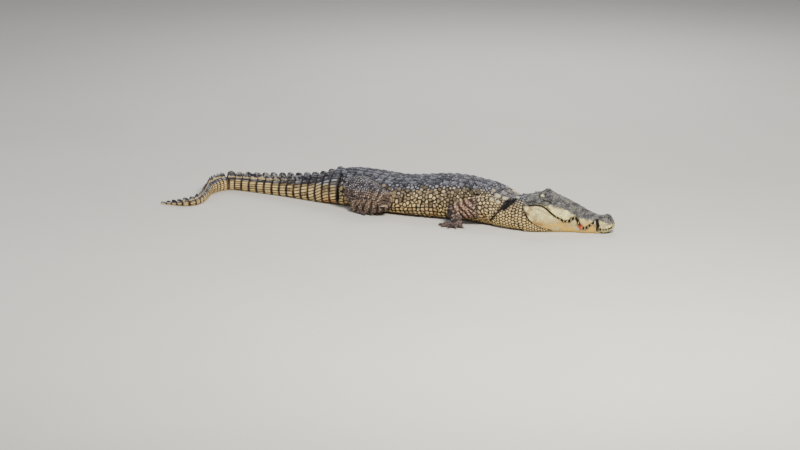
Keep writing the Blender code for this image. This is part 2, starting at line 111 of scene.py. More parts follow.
LOWER_WIDTH = (
    (0.012, 0.022), (0.030, 0.040), (0.060, 0.0505), (0.088, 0.049), (0.107, 0.061), (0.124, 0.0545),
    (0.180, 0.0705), (0.235, 0.0695), (0.290, 0.0815), (0.370, 0.109), (0.440, 0.133), (0.500, 0.147),
    (0.545, 0.152),
)
MOUTH_LINE = (
    (0.000, 0.050), (0.015, 0.040), (0.036, 0.032), (0.075, 0.030), (0.086, 0.047), (0.097, 0.078),
    (0.107, 0.085), (0.125, 0.070), (0.141, 0.056), (0.175, 0.036), (0.200, 0.050), (0.219, 0.080),
    (0.234, 0.097), (0.254, 0.091), (0.276, 0.076), (0.300, 0.075), (0.321, 0.089), (0.350, 0.105),
    (0.377, 0.128), (0.407, 0.158), (0.440, 0.176), (0.480, 0.180), (0.512, 0.176), (0.545, 0.174),
)
JAW_UNDER = ((0.000, 0.036), (0.012, 0.028), (0.030, 0.016), (0.050, 0.007), (0.085, 0.000))
HEAD_TOP = (
    (0.000, 0.062), (0.010, 0.086), (0.022, 0.102), (0.045, 0.121), (0.075, 0.114), (0.100, 0.111),
    (0.125, 0.117), (0.163, 0.131), (0.235, 0.168), (0.300, 0.199), (0.340, 0.215), (0.370, 0.222),
    (0.400, 0.224), (0.440, 0.223), (0.480, 0.217), (0.545, 0.213),
)
SIDE_POWER = ((0.00, 2.2), (0.10, 2.3), (0.28, 2.0), (0.36, 1.6), (0.43, 1.35), (0.545, 1.45))
TOP_POWER = ((0.00, 2.2), (0.10, 2.2), (0.28, 2.0), (0.36, 2.4), (0.43, 3.8), (0.545, 3.8))
UPPER_TEETH = (
    (0.034, 0.009), (0.050, 0.011), (0.068, 0.013), (0.084, 0.010), (0.137, 0.009), (0.153, 0.011),
    (0.171, 0.014), (0.190, 0.016), (0.212, 0.012), (0.236, 0.010), (0.258, 0.010), (0.280, 0.011),
    (0.302, 0.010), (0.324, 0.009), (0.346, 0.008),
)
UPPER_ARM = (
    (0.668, -0.165, 0.112, 0.070, 0.070), (0.618, -0.196, 0.114, 0.066, 0.070),
    (0.548, -0.224, 0.101, 0.055, 0.058), (0.474, -0.240, 0.090, 0.045, 0.047),
)
FOREARM = (
    (0.468, -0.248, 0.088, 0.039, 0.041), (0.490, -0.266, 0.060, 0.038, 0.039),
    (0.514, -0.286, 0.032, 0.033, 0.028),
)
PALM = ((0.526, -0.282, 0.022, 0.031, 0.022), (0.502, -0.310, 0.015, 0.041, 0.016),
        (0.480, -0.324, 0.011, 0.032, 0.012))
FINGER_TIPS = ((0.394, -0.322), (0.428, -0.356), (0.482, -0.374), (0.540, -0.362), (0.578, -0.328))
THIGH = (
    (-0.300, -0.134, 0.118, 0.072, 0.082), (-0.215, -0.164, 0.128, 0.080, 0.090),
    (-0.110, -0.202, 0.117, 0.073, 0.080), (-0.016, -0.238, 0.094, 0.056, 0.062),
)
SHANK = (
    (-0.014, -0.247, 0.082, 0.045, 0.050), (-0.080, -0.252, 0.070, 0.047, 0.051),
    (-0.155, -0.242, 0.060, 0.041, 0.045), (-0.225, -0.220, 0.046, 0.031, 0.035),
)
SOLE = ((-0.240, -0.214, 0.022, 0.026, 0.022), (-0.190, -0.228, 0.014, 0.032, 0.015),
        (-0.150, -0.238, 0.011, 0.036, 0.012))
TOE_TIPS = ((-0.062, -0.206), (-0.058, -0.238), (-0.078, -0.268), (-0.118, -0.292))

LENGTHS = np.arange(0.0, TAIL_TIP + 0.0005, 0.002)


# ---- Curves and sections ----
def joined(table):
    """A table of (place, size) joined smoothly, with no overshoot, at every place in LENGTHS."""
    x, y = np.array([row[0] for row in table]), np.array([row[1] for row in table], float)
    rise = np.diff(y) / np.diff(x)
    slope = np.concatenate([[rise[0]], np.zeros(len(x) - 2), [rise[-1]]])
    same = rise[:-1] * rise[1:] > 0
    slope[1:-1][same] = 2 * (rise[:-1] * rise[1:])[same] / (rise[:-1] + rise[1:])[same]
    s = np.clip(LENGTHS, x[0], x[-1])
    i = np.clip(np.searchsorted(x, s, side="right") - 1, 0, len(x) - 2)
    return hermite(y[i], y[i + 1], slope[i], slope[i + 1], x[i + 1] - x[i], (s - x[i]) / (x[i + 1] - x[i]))


def hermite(a, b, slope_a, slope_b, length, t):
    cubic = 2 * t**3 - 3 * t**2 + 1, t**3 - 2 * t**2 + t, 3 * t**2 - 2 * t**3, t**3 - t**2
    return cubic[0] * a + cubic[1] * length * slope_a + cubic[2] * b + cubic[3] * length * slope_b


def size_from(table):
    values = joined(table)
    return lambda s: np.interp(s, LENGTHS, values)


def smooth(low, high, value):
    t = np.clip((value - low) / (high - low), 0.0, 1.0)
    return t * t * (3 - 2 * t)


def bump(distance, reach):
    return np.exp(-((distance / reach) ** 2))


def signed_power(value, power):
    return np.sign(value) * np.abs(value) ** power


body_width, body_top, widest_share = size_from(BODY_WIDTH), size_from(BODY_TOP), size_from(WIDEST_SHARE)
crest_height, crest_spread, tail_roll = size_from(CREST_HEIGHT), size_from(CREST_SPREAD), size_from(TAIL_ROLL)
jaw_width, lower_width, mouth_line = size_from(JAW_WIDTH), size_from(LOWER_WIDTH), size_from(MOUTH_LINE)
head_top, side_power, top_power = size_from(HEAD_TOP), size_from(SIDE_POWER), size_from(TOP_POWER)
jaw_under = size_from(JAW_UNDER)


def spine_curve():
    """The spine's x and y at every place in LENGTHS: the head straight, then a smooth curve through SPINE."""
    table = np.array(SPINE)
    low = np.array([0, 0] + list(range(1, len(table) - 1)))
    high = np.array([1, 1] + list(range(3, len(table))) + [len(table) - 1])
    slope = (table[high, 1:] - table[low, 1:]) / (table[high, :1] - table[low, :1])
    i = np.clip(np.searchsorted(table[:, 0], LENGTHS, side="right") - 1, 0, len(table) - 2)
    length = (table[i + 1, 0] - table[i, 0])[:, None]
    t = (LENGTHS - table[i, 0])[:, None] / length
    return hermite(table[i, 1:], table[i + 1, 1:], slope[i], slope[i + 1], length, t)


SPINE_XY = spine_curve()
FORWARD = -np.gradient(SPINE_XY, axis=0)
FORWARD /= np.linalg.norm(FORWARD, axis=1)[:, None]


def on_spine(s):
    """Points on the spine, and the forward directions there."""
    point = np.stack([np.interp(s, LENGTHS, SPINE_XY[:, k]) for k in (0, 1)], -1)
    forward = np.stack([np.interp(s, LENGTHS, FORWARD[:, k]) for k in (0, 1)], -1)
    return point, forward / np.linalg.norm(forward, axis=-1, keepdims=True)


def tail_ring(s):
    """The corners of the tail's section under its crests, as part of a closed ring of (left, up)."""
    width, body = body_width(s), body_top(s)
    spread = width * crest_spread(s)
    trough = body if s > WHIP_START else body - 0.3 * crest_height(s)
    half = [
        (0.70 * width, 0.0), (width, 0.30 * body), (0.94 * width, 0.66 * body),
        (max(spread + 0.10 * width, 0.56 * width), 0.90 * body), (spread, body), (0.45 * spread, trough),
    ]
    return [(0.0, 0.0)] + half + [(0.0, trough)] + [(-a, b) for a, b in reversed(half)]


def round_ring(s, angles):
    width, top = body_width(s), body_top(s)
    widest = top * widest_share(s)
    across, up = np.cos(angles), np.sin(angles)
    side = width * signed_power(across, 2 / 2.35)
    over = widest + (top - widest) * np.abs(up) ** (2 / 2.15)
    under = widest - (widest + 0.008) * np.abs(up) ** (2 / 2.8)
    return np.stack([side, np.maximum(np.where(up < 0, under, over), 0.0)], 1)


def body_section(s):
    """The section at s as ROUND points, starting under the middle and going round by the left."""
    ring = np.array(tail_ring(max(s, TAIL_START)))
    blend = np.clip((s - TAIL_START) / 0.22, 0.0, 1.0)
    if blend < 1.0:
        angles = np.arctan2(ring[:, 1] - 0.4 * body_top(s), ring[:, 0])
        angles[0] = -math.pi / 2
        ring = ring * blend + round_ring(s, angles) * (1 - blend)
    if blend == 0.0:
        ring = round_ring(s, -math.pi / 2 + 2 * math.pi * np.arange(24) / 24)
    return closed_curve(ring, ROUND)


def closed_curve(ring, count):
    """A smooth closed curve through the ring's corners, as count points evenly spaced along it."""
    n = len(ring)
    t = np.arange(0, n, 0.1)
    i, f = np.floor(t).astype(int), (t % 1)[:, None]
    a, b, c, d = ring[(i - 1) % n], ring[i % n], ring[(i + 1) % n], ring[(i + 2) % n]
    fine = 0.5 * (2 * b + (c - a) * f + (2 * a - 5 * b + 4 * c - d) * f**2 + (3 * b - a - 3 * c + d) * f**3)
    fine = np.vstack([fine, fine[:1]])
    run = np.concatenate([[0], np.cumsum(np.linalg.norm(np.diff(fine, axis=0), axis=1))])
    places = run[-1] * np.arange(count) / count
    even = np.stack([np.interp(places, run, fine[:, k]) for k in (0, 1)], 1)
    return np.stack([even[:, 0], np.maximum(even[:, 1], 0.0)], 1)


def head_parts(s):
    """The upper and lower jaw's sections at s, as closed rings that meet at the line of the mouth."""
    width, mouth, top = jaw_width(s), mouth_line(s), head_top(s)
    angle = np.pi * np.arange(61) / 60
    side = width * signed_power(np.cos(angle), 2 / side_power(s))
    height = mouth + (top - mouth) * np.abs(np.sin(angle)) ** (2 / top_power(s))
    rise = smooth(0.0, 0.4, (height - mouth) / (top - mouth))
    brow = bump(s - EYE_PLACE[0] + 0.005, 0.046) * bump(np.abs(side) - 0.046, 0.026)
    dip = bump(s - EYE_PLACE[0], 0.05) * bump(side, 0.025)
    height = height + rise * (0.026 * brow - 0.008 * dip)
    below = -width + 2 * width * np.arange(1, 20) / 20
    upper = np.vstack([np.stack([side, height], 1), np.stack([below, np.full(19, mouth)], 1)])
    low = lower_width(max(s, 0.012)) if s > 0.012 else 0.6 * width
    under = jaw_under(s)
    shelf = lambda share: under + share * (mouth - under)
    half = [(0.72 * low, under), (0.94 * low, shelf(0.16)), (1.01 * low, shelf(0.55)), (low, mouth + 0.002)]
    jaw = [(0.0, under)] + half + [(0.0, mouth + 0.002)] + [(-a, b) for a, b in reversed(half)]
    return upper, closed_curve(np.array(jaw), 64)


def tail_drop():
    """How far each rolled section of the tail has to be lowered to lie on the floor."""
    drop = np.zeros(len(LENGTHS))
    for i, s in enumerate(LENGTHS):
        roll = math.radians(tail_roll(s))
        if roll > 0:
            ring = np.array(tail_ring(s))
            drop[i] = (ring[:, 0] * math.sin(roll)
                       + ring[:, 1] * math.cos(roll)).min() + 0.002 * math.sin(roll)
    return drop


DROP = tail_drop()


def stand(s, left, up):
    """Points at distances s, left of the spine and up from the floor, rolled with the tail."""
    s, left, up = np.broadcast_arrays(np.asarray(s, float), left, up)
    point, forward = on_spine(s)
    roll = np.radians(tail_roll(s))
    across = left * np.cos(roll) - up * np.sin(roll)
    height = left * np.sin(roll) + up * np.cos(roll) - np.interp(s, LENGTHS, DROP)
    x = point[..., 0] - forward[..., 1] * across + BOX_SHIFT[0]
    y = point[..., 1] + forward[..., 0] * across + BOX_SHIFT[1]
    return np.stack([x, y, np.maximum(height, 0.0)], -1)


def body_place(points):
    """The reverse of stand: s, left and up for points of the row frame."""
    flat = points[:, :2] - np.array(BOX_SHIFT)
    coarse = SPINE_XY[::5]
    nearest = np.zeros(len(flat), int)
    for first in range(0, len(flat), 20000):
        part = flat[first : first + 20000]
        nearest[first : first + 20000] = ((part[:, None, :] - coarse[None]) ** 2).sum(-1).argmin(1)
    s = LENGTHS[::5][nearest]
    for _ in range(3):
        point, forward = on_spine(s)
        s = np.clip(s - 0.8 * ((flat - point) * forward).sum(1), 0.0, TAIL_TIP)
    point, forward = on_spine(s)
    offset = flat - point
    across = -offset[:, 0] * forward[:, 1] + offset[:, 1] * forward[:, 0]
    roll = np.radians(tail_roll(s))
    height = points[:, 2] + np.interp(s, LENGTHS, DROP)
    return s, across * np.cos(roll) + height * np.sin(roll), -across * np.sin(roll) + height * np.cos(roll)


# ---- The rough body, before it is made one skin ----
def loft(rings):
    """Points and faces of a closed loft, each end closed by a fan round its middle."""
    count, sides = len(rings), len(rings[0])
    points = np.vstack([*rings, rings[0].mean(0)[None], rings[-1].mean(0)[None]])
    a = (np.arange(count - 1)[:, None] * sides + np.arange(sides)).ravel()
    b = (np.arange(count - 1)[:, None] * sides + (np.arange(sides) + 1) % sides).ravel()
    quads = np.stack([a, b, b + sides, a + sides], 1)
    k, after = np.arange(sides), (np.arange(sides) + 1) % sides
    start = np.stack([after, k, np.full(sides, count * sides)], 1)
    last = (count - 1) * sides
    end = np.stack([k + last, after + last, np.full(sides, count * sides + 1)], 1)
    return points, [tuple(f) for f in quads.tolist()] + [tuple(f) for f in np.vstack([start, end]).tolist()]


def fine_path(path, steps=6):
    """A limb's path with points between its corners, on a smooth curve."""
    path = np.array(path)
    rows = []
    for i in range(len(path) - 1):
        a, b = path[max(i - 1, 0)], path[min(i + 2, len(path) - 1)]
        for t in np.arange(steps) / steps:
            p, q = path[i], path[i + 1]
            rows.append(0.5 * (2 * p + (q - a) * t + (2 * a - 5 * p + 4 * q - b) * t**2
                               + (3 * p - a - 3 * q + b) * t**3))
    return np.array(rows + [path[-1]])


def tube(path, sides=28):
    """Rings along a path of (x, y, z, half width, half height), round at its ends and above the floor."""
    rings = []
    for i, row in enumerate(path):
        tangent = path[min(i + 1, len(path) - 1), :3] - path[max(i - 1, 0), :3]
        tangent = tangent / np.linalg.norm(tangent)
        across = np.cross(tangent, (0, 0, 1))
        across = across / np.linalg.norm(across)
        upright = np.cross(across, tangent)
        ends = [0.0]
        if i == 0:
            ends = [-0.95, -0.8, -0.55, -0.25, 0.0]
        if i == len(path) - 1:
            ends = [0.0, 0.25, 0.55, 0.8, 0.95]
        for step in ends:
            share = math.sqrt(1 - step * step)
            angle = 2 * np.pi * np.arange(sides) / sides
            centre = row[:3] + tangent * (step * 0.8 * min(row[3], row[4]))
            ring = centre + share * (row[3] * np.cos(angle)[:, None] * across
                                     + row[4] * np.sin(angle)[:, None] * upright)
            rings.append(ring + np.array([*BOX_SHIFT, 0.0]))
    return [np.stack([r[:, 0], r[:, 1], np.maximum(r[:, 2], 0.0)], 1) for r in rings]


def turned_over(path, line, step):
    """A path of the right side turned to the left side, its upper lengths kept lower and slimmer."""
    turned = []
    for x, y, *rest in path:
        if len(rest) == 3 and rest[0] > 0.06:
            rest = [0.06 + 0.6 * (rest[0] - 0.06), 0.9 * rest[1], 0.88 * rest[2]]
        turned.append((x + step, 2 * line - y, *rest))
    return turned


def digit_paths(root, tips):
    """A gently arched path for each digit of a paw."""
    paths = []
    for x, y in tips:
        base = np.array([root[0] + 0.2 * (x - root[0]), root[1] + 0.2 * (y - root[1]), 0.013])
        end = np.array([x, y, 0.0085])
        tip = end - (end - base) / np.linalg.norm(end - base) * 0.010
        knuckle, middle = base + 0.35 * (tip - base), base + 0.7 * (tip - base)
        knuckle[2], middle[2] = 0.016, 0.013
        sizes = ((base, 1.2), (knuckle, 1.12), (middle, 0.95), (tip, 0.85))
        paths.append([(*point, DIGIT_RADIUS * share, DIGIT_RADIUS * share) for point, share in sizes])
    return paths


def limb_paths():
    """For each limb: its name, its three lengths and its digits."""
    arm, leg = (UPPER_ARM, FOREARM, PALM), (THIGH, SHANK, SOLE)
    limbs = [("arm_right", arm, FINGER_TIPS), ("leg_right", leg, TOE_TIPS)]
    far_arm = tuple(turned_over(path, SHOULDER_LINE, FAR_ARM_STEP) for path in arm)
    far_leg = tuple(turned_over(path, HIP_LINE, FAR_LEG_STEP) for path in leg)
    limbs.append(("arm_left", far_arm, turned_over(FINGER_TIPS, SHOULDER_LINE, FAR_ARM_STEP)))
    limbs.append(("leg_left", far_leg, turned_over(TOE_TIPS, HIP_LINE, FAR_LEG_STEP)))
    return limbs


LIMBS = limb_paths()


def web_between(root, tips, reach):
    """The web of skin between the toes: a thin slab from the paw out to part of the toes' length."""
    rim = [(root[0] + reach * (x - root[0]), root[1] + reach * (y - root[1])) for x, y in tips]
    flat = np.array([root[:2]] + rim) + np.array(BOX_SHIFT)
    middle = flat.mean(0)
    rings = []
    for height in (0.001, 0.011):
        outline = np.vstack([flat, flat[::-1] * 0.999 + middle * 0.001])
        rings.append(np.column_stack([outline, np.full(len(outline), height)]))
    return rings


def rough_body():
    """Every part of the body as closed lofts that run into each other."""
    lofts = []
    stations = np.concatenate([np.arange(0.50, WHIP_START, 0.008), np.arange(WHIP_START, TAIL_TIP, 0.006)])
    lofts.append([shrunk(s, body_section(s)) for s in stations])
    upper, lower = [], []
    for s in np.concatenate([[0.005, 0.008], np.arange(0.012, 0.546, 0.004)]):
        over, under = head_parts(min(s, HEAD_LENGTH))
        upper.append(shrunk(s, over))
        lower.append(shrunk(s, under))
    lofts += [upper, lower]
    for name, lengths, tips in LIMBS:
        lofts += [tube(fine_path(path)) for path in lengths]
        lofts += [tube(fine_path(path, 3), 14) for path in digit_paths(lengths[2][1], tips)]
        lofts.append(web_between(lengths[2][1], tips, 0.62 if name.startswith("leg") else 0.34))
    return lofts


def shrunk(s, section):
    """A section stood across the spine, drawn in by the depth that the scutes and scales take."""
    reach = np.abs(section).max()
    share = 1 - HIDE_INSET / reach
    return stand(s, section[:, 0] * share,
                 np.where(section[:, 1] > 0.02, section[:, 1] - HIDE_INSET, section[:, 1]))


def mesh_object(name, points, faces):
    mesh = bpy.data.meshes.new(name)
    mesh.from_pydata([tuple(p) for p in points.tolist()], [], faces)
    made = bpy.data.objects.new(name, mesh)
    bpy.context.scene.collection.objects.link(made)
    return made


def applied(shape):
    """The shape with its modifiers made real."""
    bpy.context.view_layer.update()
    graph = bpy.context.evaluated_depsgraph_get()
    mesh = bpy.data.meshes.new_from_object(shape.evaluated_get(graph))
    shape.modifiers.clear()
    shape.data = mesh
    return shape


def one_skin():
    """The rough body made one even skin, with its joins smoothed."""
    points, faces, first = [], [], 0
    for rings in rough_body():
        ring_points, ring_faces = loft(rings)
        points.append(ring_points)
        faces += [tuple(k + first for k in face) for face in ring_faces]
        first += len(ring_points)
    skin = mesh_object("hide", np.vstack(points), faces)
    remesh = skin.modifiers.new("one skin", "REMESH")
    remesh.mode = "VOXEL"
    remesh.voxel_size = CELL
    remesh.adaptivity = 0.0
    applied(skin)
    return skin


def corners_of(mesh):
    co = np.empty(len(mesh.vertices) * 3, np.float32)
    mesh.vertices.foreach_get("co", co)
    return co.reshape(-1, 3).astype(float)


def normals_of(mesh):
    normal = np.empty(len(mesh.vertices) * 3, np.float32)
    mesh.vertex_normals.foreach_get("vector", normal)
    return normal.reshape(-1, 3).astype(float)


def edges_of(mesh):
    ends = np.empty(len(mesh.edges) * 2, np.int32)
    mesh.edges.foreach_get("vertices", ends)
    return ends.reshape(-1, 2)


def relax(values, edges, times, share=0.5):
    """Draws each point, or value, towards the mean of its neighbours."""
    count = np.bincount(edges.ravel(), minlength=len(values)).astype(float)
    count[count == 0] = 1
    share = np.broadcast_to(np.asarray(share, float), (len(values),))
    columns = values.reshape(len(values), -1).copy()
    for _ in range(times):
        for k in range(columns.shape[1]):
            total = np.bincount(edges[:, 0], columns[edges[:, 1], k], len(values))
            total += np.bincount(edges[:, 1], columns[edges[:, 0], k], len(values))
            columns[:, k] += share * (total / count - columns[:, k])
    return columns.reshape(values.shape)


def set_corners(mesh, co):
    mesh.vertices.foreach_set("co", co.astype(np.float32).ravel())
    mesh.update()


# ---- Where each point of the hide is on the body ----
SECTION_STEP = 0.01
SECTION_S = np.arange(HEAD_LENGTH, TAIL_TIP + 0.001, SECTION_STEP)
SECTIONS = np.array([body_section(s) for s in SECTION_S])
PERIMETER = np.linalg.norm(np.diff(SECTIONS, axis=1, append=SECTIONS[:, :1]), axis=2).sum(1)
ANGLES = 2 * np.pi * np.arange(128) / 128


def section_tables():
    """For each section, how far round it and how far out its outline is at every angle about its middle."""
    share, reach = np.zeros((len(SECTION_S), 128)), np.zeros((len(SECTION_S), 128))
    for j, section in enumerate(SECTIONS):
        middle = section[:, 1].max() * 0.42
        angle = np.unwrap(np.arctan2(section[:, 1] - middle, section[:, 0]))
        round_share = np.arange(ROUND) / ROUND
        wrap = lambda values, step: np.concatenate([values - step, values, values + step])
        order = np.argsort(wrap(angle, 2 * np.pi))
        angles = wrap(angle, 2 * np.pi)[order]
        share[j] = np.interp(ANGLES, angles, wrap(round_share, 1.0)[order])
        out = np.hypot(section[:, 0], section[:, 1] - middle)
        reach[j] = np.interp(ANGLES, angles, np.tile(out, 3)[order])
    return share, reach


SHARE, REACH = section_tables()


def body_round(s, left, up):
    """Distance round the body from the back's ridge, plus to the left, and height above its surface."""
    j = np.clip((s - SECTION_S[0]) / SECTION_STEP, 0, len(SECTION_S) - 1.001)
    middle = np.interp(s, SECTION_S, SECTIONS[:, :, 1].max(1)) * 0.42
    k = (np.arctan2(up - middle, left) % (2 * np.pi)) / (2 * np.pi) * 128
    i, f, m, g = j.astype(int), j % 1, k.astype(int) % 128, k % 1
    look = lambda table, step: (
        (table[i, m] * (1 - g) + (table[i, (m + 1) % 128] + step) * g) * (1 - f)
        + (table[i + 1, m] * (1 - g) + (table[i + 1, (m + 1) % 128] + step) * g) * f
    )
    share = look(SHARE, np.where(m == 127, 1.0, 0.0))
    share = (share + 10) % 1.0
    arc = (0.5 - share) * np.interp(s, SECTION_S, PERIMETER)
    return arc, np.hypot(left, up - middle) - look(REACH, 0.0)


def limb_place(points, lengths, tips):
    """For points near a limb: height above it, distance along it, which length it is, and angle round it."""
    rows, along, which = [], [], []
    run = 0.0
    for number, path in enumerate([*lengths, *digit_paths(lengths[2][1], tips)]):
        fine = fine_path(path, 8)
        fine[:, :2] += np.array(BOX_SHIFT)
        step = np.concatenate([[0], np.cumsum(np.linalg.norm(np.diff(fine[:, :3], axis=0), axis=1))])
        start = run if number < 3 else run + 0.02
        rows.append(fine)
        along.append(start + step)
        which.append(np.full(len(fine), min(number, 3)))
        run = run + step[-1] if number < 3 else run
    rows, along, which = np.vstack(rows), np.concatenate(along), np.concatenate(which)
    tangent = np.gradient(rows[:, :3], axis=0)
    tangent /= np.linalg.norm(tangent, axis=1)[:, None]
    gap = points[:, None, :] - rows[None, :, :3]
    lengthwise = (gap * tangent[None]).sum(2)
    sideways = np.sqrt(np.maximum((gap**2).sum(2) - lengthwise**2, 0))
    radius = 0.5 * (rows[:, 3] + rows[:, 4])
    out = np.hypot(np.maximum(np.abs(lengthwise) - 0.006, 0), sideways) - radius[None]
    best = out.argmin(1)
    pick = np.arange(len(points))
    chosen = gap[pick, best]
    angle = np.arctan2(chosen[:, 2], np.abs(chosen[:, 1]) * np.sign(rows[best, 1] - BOX_SHIFT[1]))
    return out[pick, best], along[best] + lengthwise[pick, best], which[best], angle * radius[best]


class Places:
    """What the hide's points are: on the head, trunk or tail, on which limb, and where."""

    def __init__(self, points):
        self.points = points
        self.s, self.left, self.up = body_place(points)
        self.arc, self.out = body_round(np.maximum(self.s, HEAD_LENGTH), self.left, self.up)
        self.limb = np.zeros(len(points))
        self.limb_skin = np.zeros(len(points))
        self.limb_run = np.zeros(len(points))
        self.limb_round = np.zeros(len(points))
        self.limb_length = np.zeros(len(points), int)
        self.arm = np.zeros(len(points))
        for name, lengths, tips in LIMBS:
            corners = np.array([row[:3] for path in lengths for row in path] + [(x, y, 0.0) for x, y in tips])
            corners[:, :2] += np.array(BOX_SHIFT)
            near = ((points > corners.min(0) - 0.1) & (points < corners.max(0) + 0.1)).all(1)
            chosen = np.flatnonzero(near)
            out, run, which, turn = limb_place(points[chosen], lengths, tips)
            weight = smooth(-0.006, 0.010, self.out[chosen] - out)
            better = weight > self.limb[chosen]
            index = chosen[better]
            self.limb[index], self.limb_run[index] = weight[better], run[better]
            start = (0.045, 0.095) if name.startswith("arm") else (-0.02, 0.05)
            self.limb_skin[index] = (weight * smooth(*start, run))[better]
            self.limb_round[index], self.limb_length[index] = turn[better], which[better]
            self.arm[index] = 1.0 if name.startswith("arm") else 0.0


# ---- The relief of the hide: scales, folds and the head's features ----
def chance(a, b, seed):
    """A steady random number from 0 to 1 for each pair of whole numbers."""
    n = (a.astype(np.int64) * 73856093) ^ (b.astype(np.int64) * 19349663) ^ (seed * 83492791)
    n = (n ^ (n >> 13)) * 1274126177
    return ((n ^ (n >> 16)) & 0xFFFF) / 65535.0


def cells(p, q, jitter, seed, bricks=0.5):
    """Scales on a plane: distance from the border (0 on it, about 1 at a middle) and a number for each."""
    row = np.floor(p)
    first, second = np.full(len(p), 9.0), np.full(len(p), 9.0)
    tone = np.zeros(len(p))
    for dp in (-1, 0, 1):
        r = row + dp
        shifted = q + bricks * (r % 2)
        column = np.floor(shifted)
        for dq in (-1, 0, 1):
            c = column + dq
            across = r + 0.5 + jitter * (chance(r, c, seed) - 0.5)
            around = c + 0.5 + jitter * (chance(r, c, seed + 7) - 0.5)
            d = np.hypot(p - across, shifted - around)
            closer = d < first
            second = np.where(closer, first, np.minimum(second, d))
            tone = np.where(closer, chance(r, c, seed + 13), tone)
            first = np.where(closer, d, first)
    return np.clip(second - first, 0, 1), tone


def bricks(p, q, seed, offset=0.0):
    """Rectangular scales: distance from the border as a share of half a scale, and a number for each."""
    row = np.floor(p)
    shifted = q + offset * (row % 2)
    edge = np.minimum(0.5 - np.abs(p - row - 0.5), 0.5 - np.abs(shifted - np.floor(shifted) - 0.5))
    return 2 * edge, chance(row, np.floor(shifted), seed)


def crease(x, y, line, width):
    """1 along a line of (x, y) corners, falling to 0 at its width."""
    closest = np.full(len(x), 9.0)
    for (ax, ay), (bx, by) in zip(line, line[1:]):
        t = np.clip(((x - ax) * (bx - ax) + (y - ay) * (by - ay)) / ((bx - ax) ** 2 + (by - ay) ** 2), 0, 1)
        closest = np.minimum(closest, np.hypot(x - ax - t * (bx - ax), y - ay - t * (by - ay)))
    return bump(closest, width)


def mix(a, b, share):
    return a + (b - a) * share


def jaw_rear(up):
    """How far behind the tip the cheek and lower jaw reach at a height, before the throat begins."""
    return np.interp(up, [0.0, 0.02, 0.035, 0.06, 0.09, 0.14, 0.18],
                     [0.37, 0.39, 0.45, 0.49, 0.519, 0.537, 0.545])


def pick(choice, a, b):
    """Pairs of arrays chosen point by point."""
    return [np.where(choice, x, y) for x, y in zip(a, b)]


def scale_relief(at):
    """Scales as height (metres), grooves, number and domed middle, with the shares of belly and of face."""
    s, arc = at.s, at.arc
    around = np.abs(arc) / np.interp(s, SECTION_S, PERIMETER)
    belly = smooth(0.36, 0.41, around)
    tail = s > 1.88 - 0.05 * (around > 0.2)
    row = np.where(s > WHIP_START, (s - WHIP_START) / WHIP_ROW, (s - TAIL_START) / TAIL_ROW)
    tall = np.clip(0.155 * body_top(s), 0.010, 0.020)
    wander = 0.016 * np.sin(s / 0.047) + 0.010 * np.sin(s / 0.019 + 2.0)
    low_flank = smooth(0.24, 0.30, around + wander) * smooth(0.9, 1.0, s)
    flank = pick(low_flank > 0.5, cells((s - BACK_START) / 0.028, arc / 0.0255, 0.34, 4, 0.0),
                 cells((s - BACK_START) / 0.0245, arc / 0.0255, 0.66, 3))
    neck = pick(s < NAPE_END, cells(s / 0.0165, arc / 0.0185, 0.42, 5),
                cells(s / 0.0215, arc / 0.0225, 0.50, 6))
    sides = bricks(row, arc / tall, 9)
    under = bricks((s - BACK_START) / 0.029, arc / 0.028, 11)
    small = np.where(at.arm > 0.5, 0.0190, 0.0150)
    upper = cells(at.limb_run / small, at.limb_round / small, 0.60, 17)
    edge, tone = pick(s < NECK_END, neck, flank)
    tone = mix(tone, 0.75, np.interp(s, [0.74, 0.76, 0.93, 0.96], [0.50, 0.25, 0.25, 0.0]))
    edge, tone = pick(tail, sides, (edge, tone))
    edge, tone = pick(belly > 0.5, under, (edge, tone))
    height = np.where(s < NAPE_END, 0.0030, 0.0038)
    height = mix(np.where(tail, 0.0034, height), 0.0010, belly)
    on_limb, paw = at.limb_skin > 0.5, (at.limb_skin > 0.5) & (at.limb_length >= 2)
    edge, tone = pick(on_limb, upper, (edge, tone))
    height = np.where(on_limb, np.where(paw, 0.0007, 0.0021), height)
    face = smooth(0.006, -0.006, s - jaw_rear(at.up))
    high = at.up > head_top(np.minimum(s, HEAD_LENGTH)) - 0.02
    skin = cells(s / 0.0150, np.where(high, at.left, at.up) / 0.0125, 0.95, 23)
    edge, tone = pick(face > 0.5, skin, (edge, tone))
    height = mix(height, 0.0006, face)
    dome = smooth(0.0, 0.55, edge) * height
    groove = (1 - smooth(0.06, 0.30, edge)) * np.where(paw, 0.5, 1.0)
    groove = mix(groove, 0.62 * (1 - smooth(0.02, 0.16, edge)) * (tone > 0.35), face)
    return dome, groove, tone, smooth(0.22, 0.55, edge), belly, face


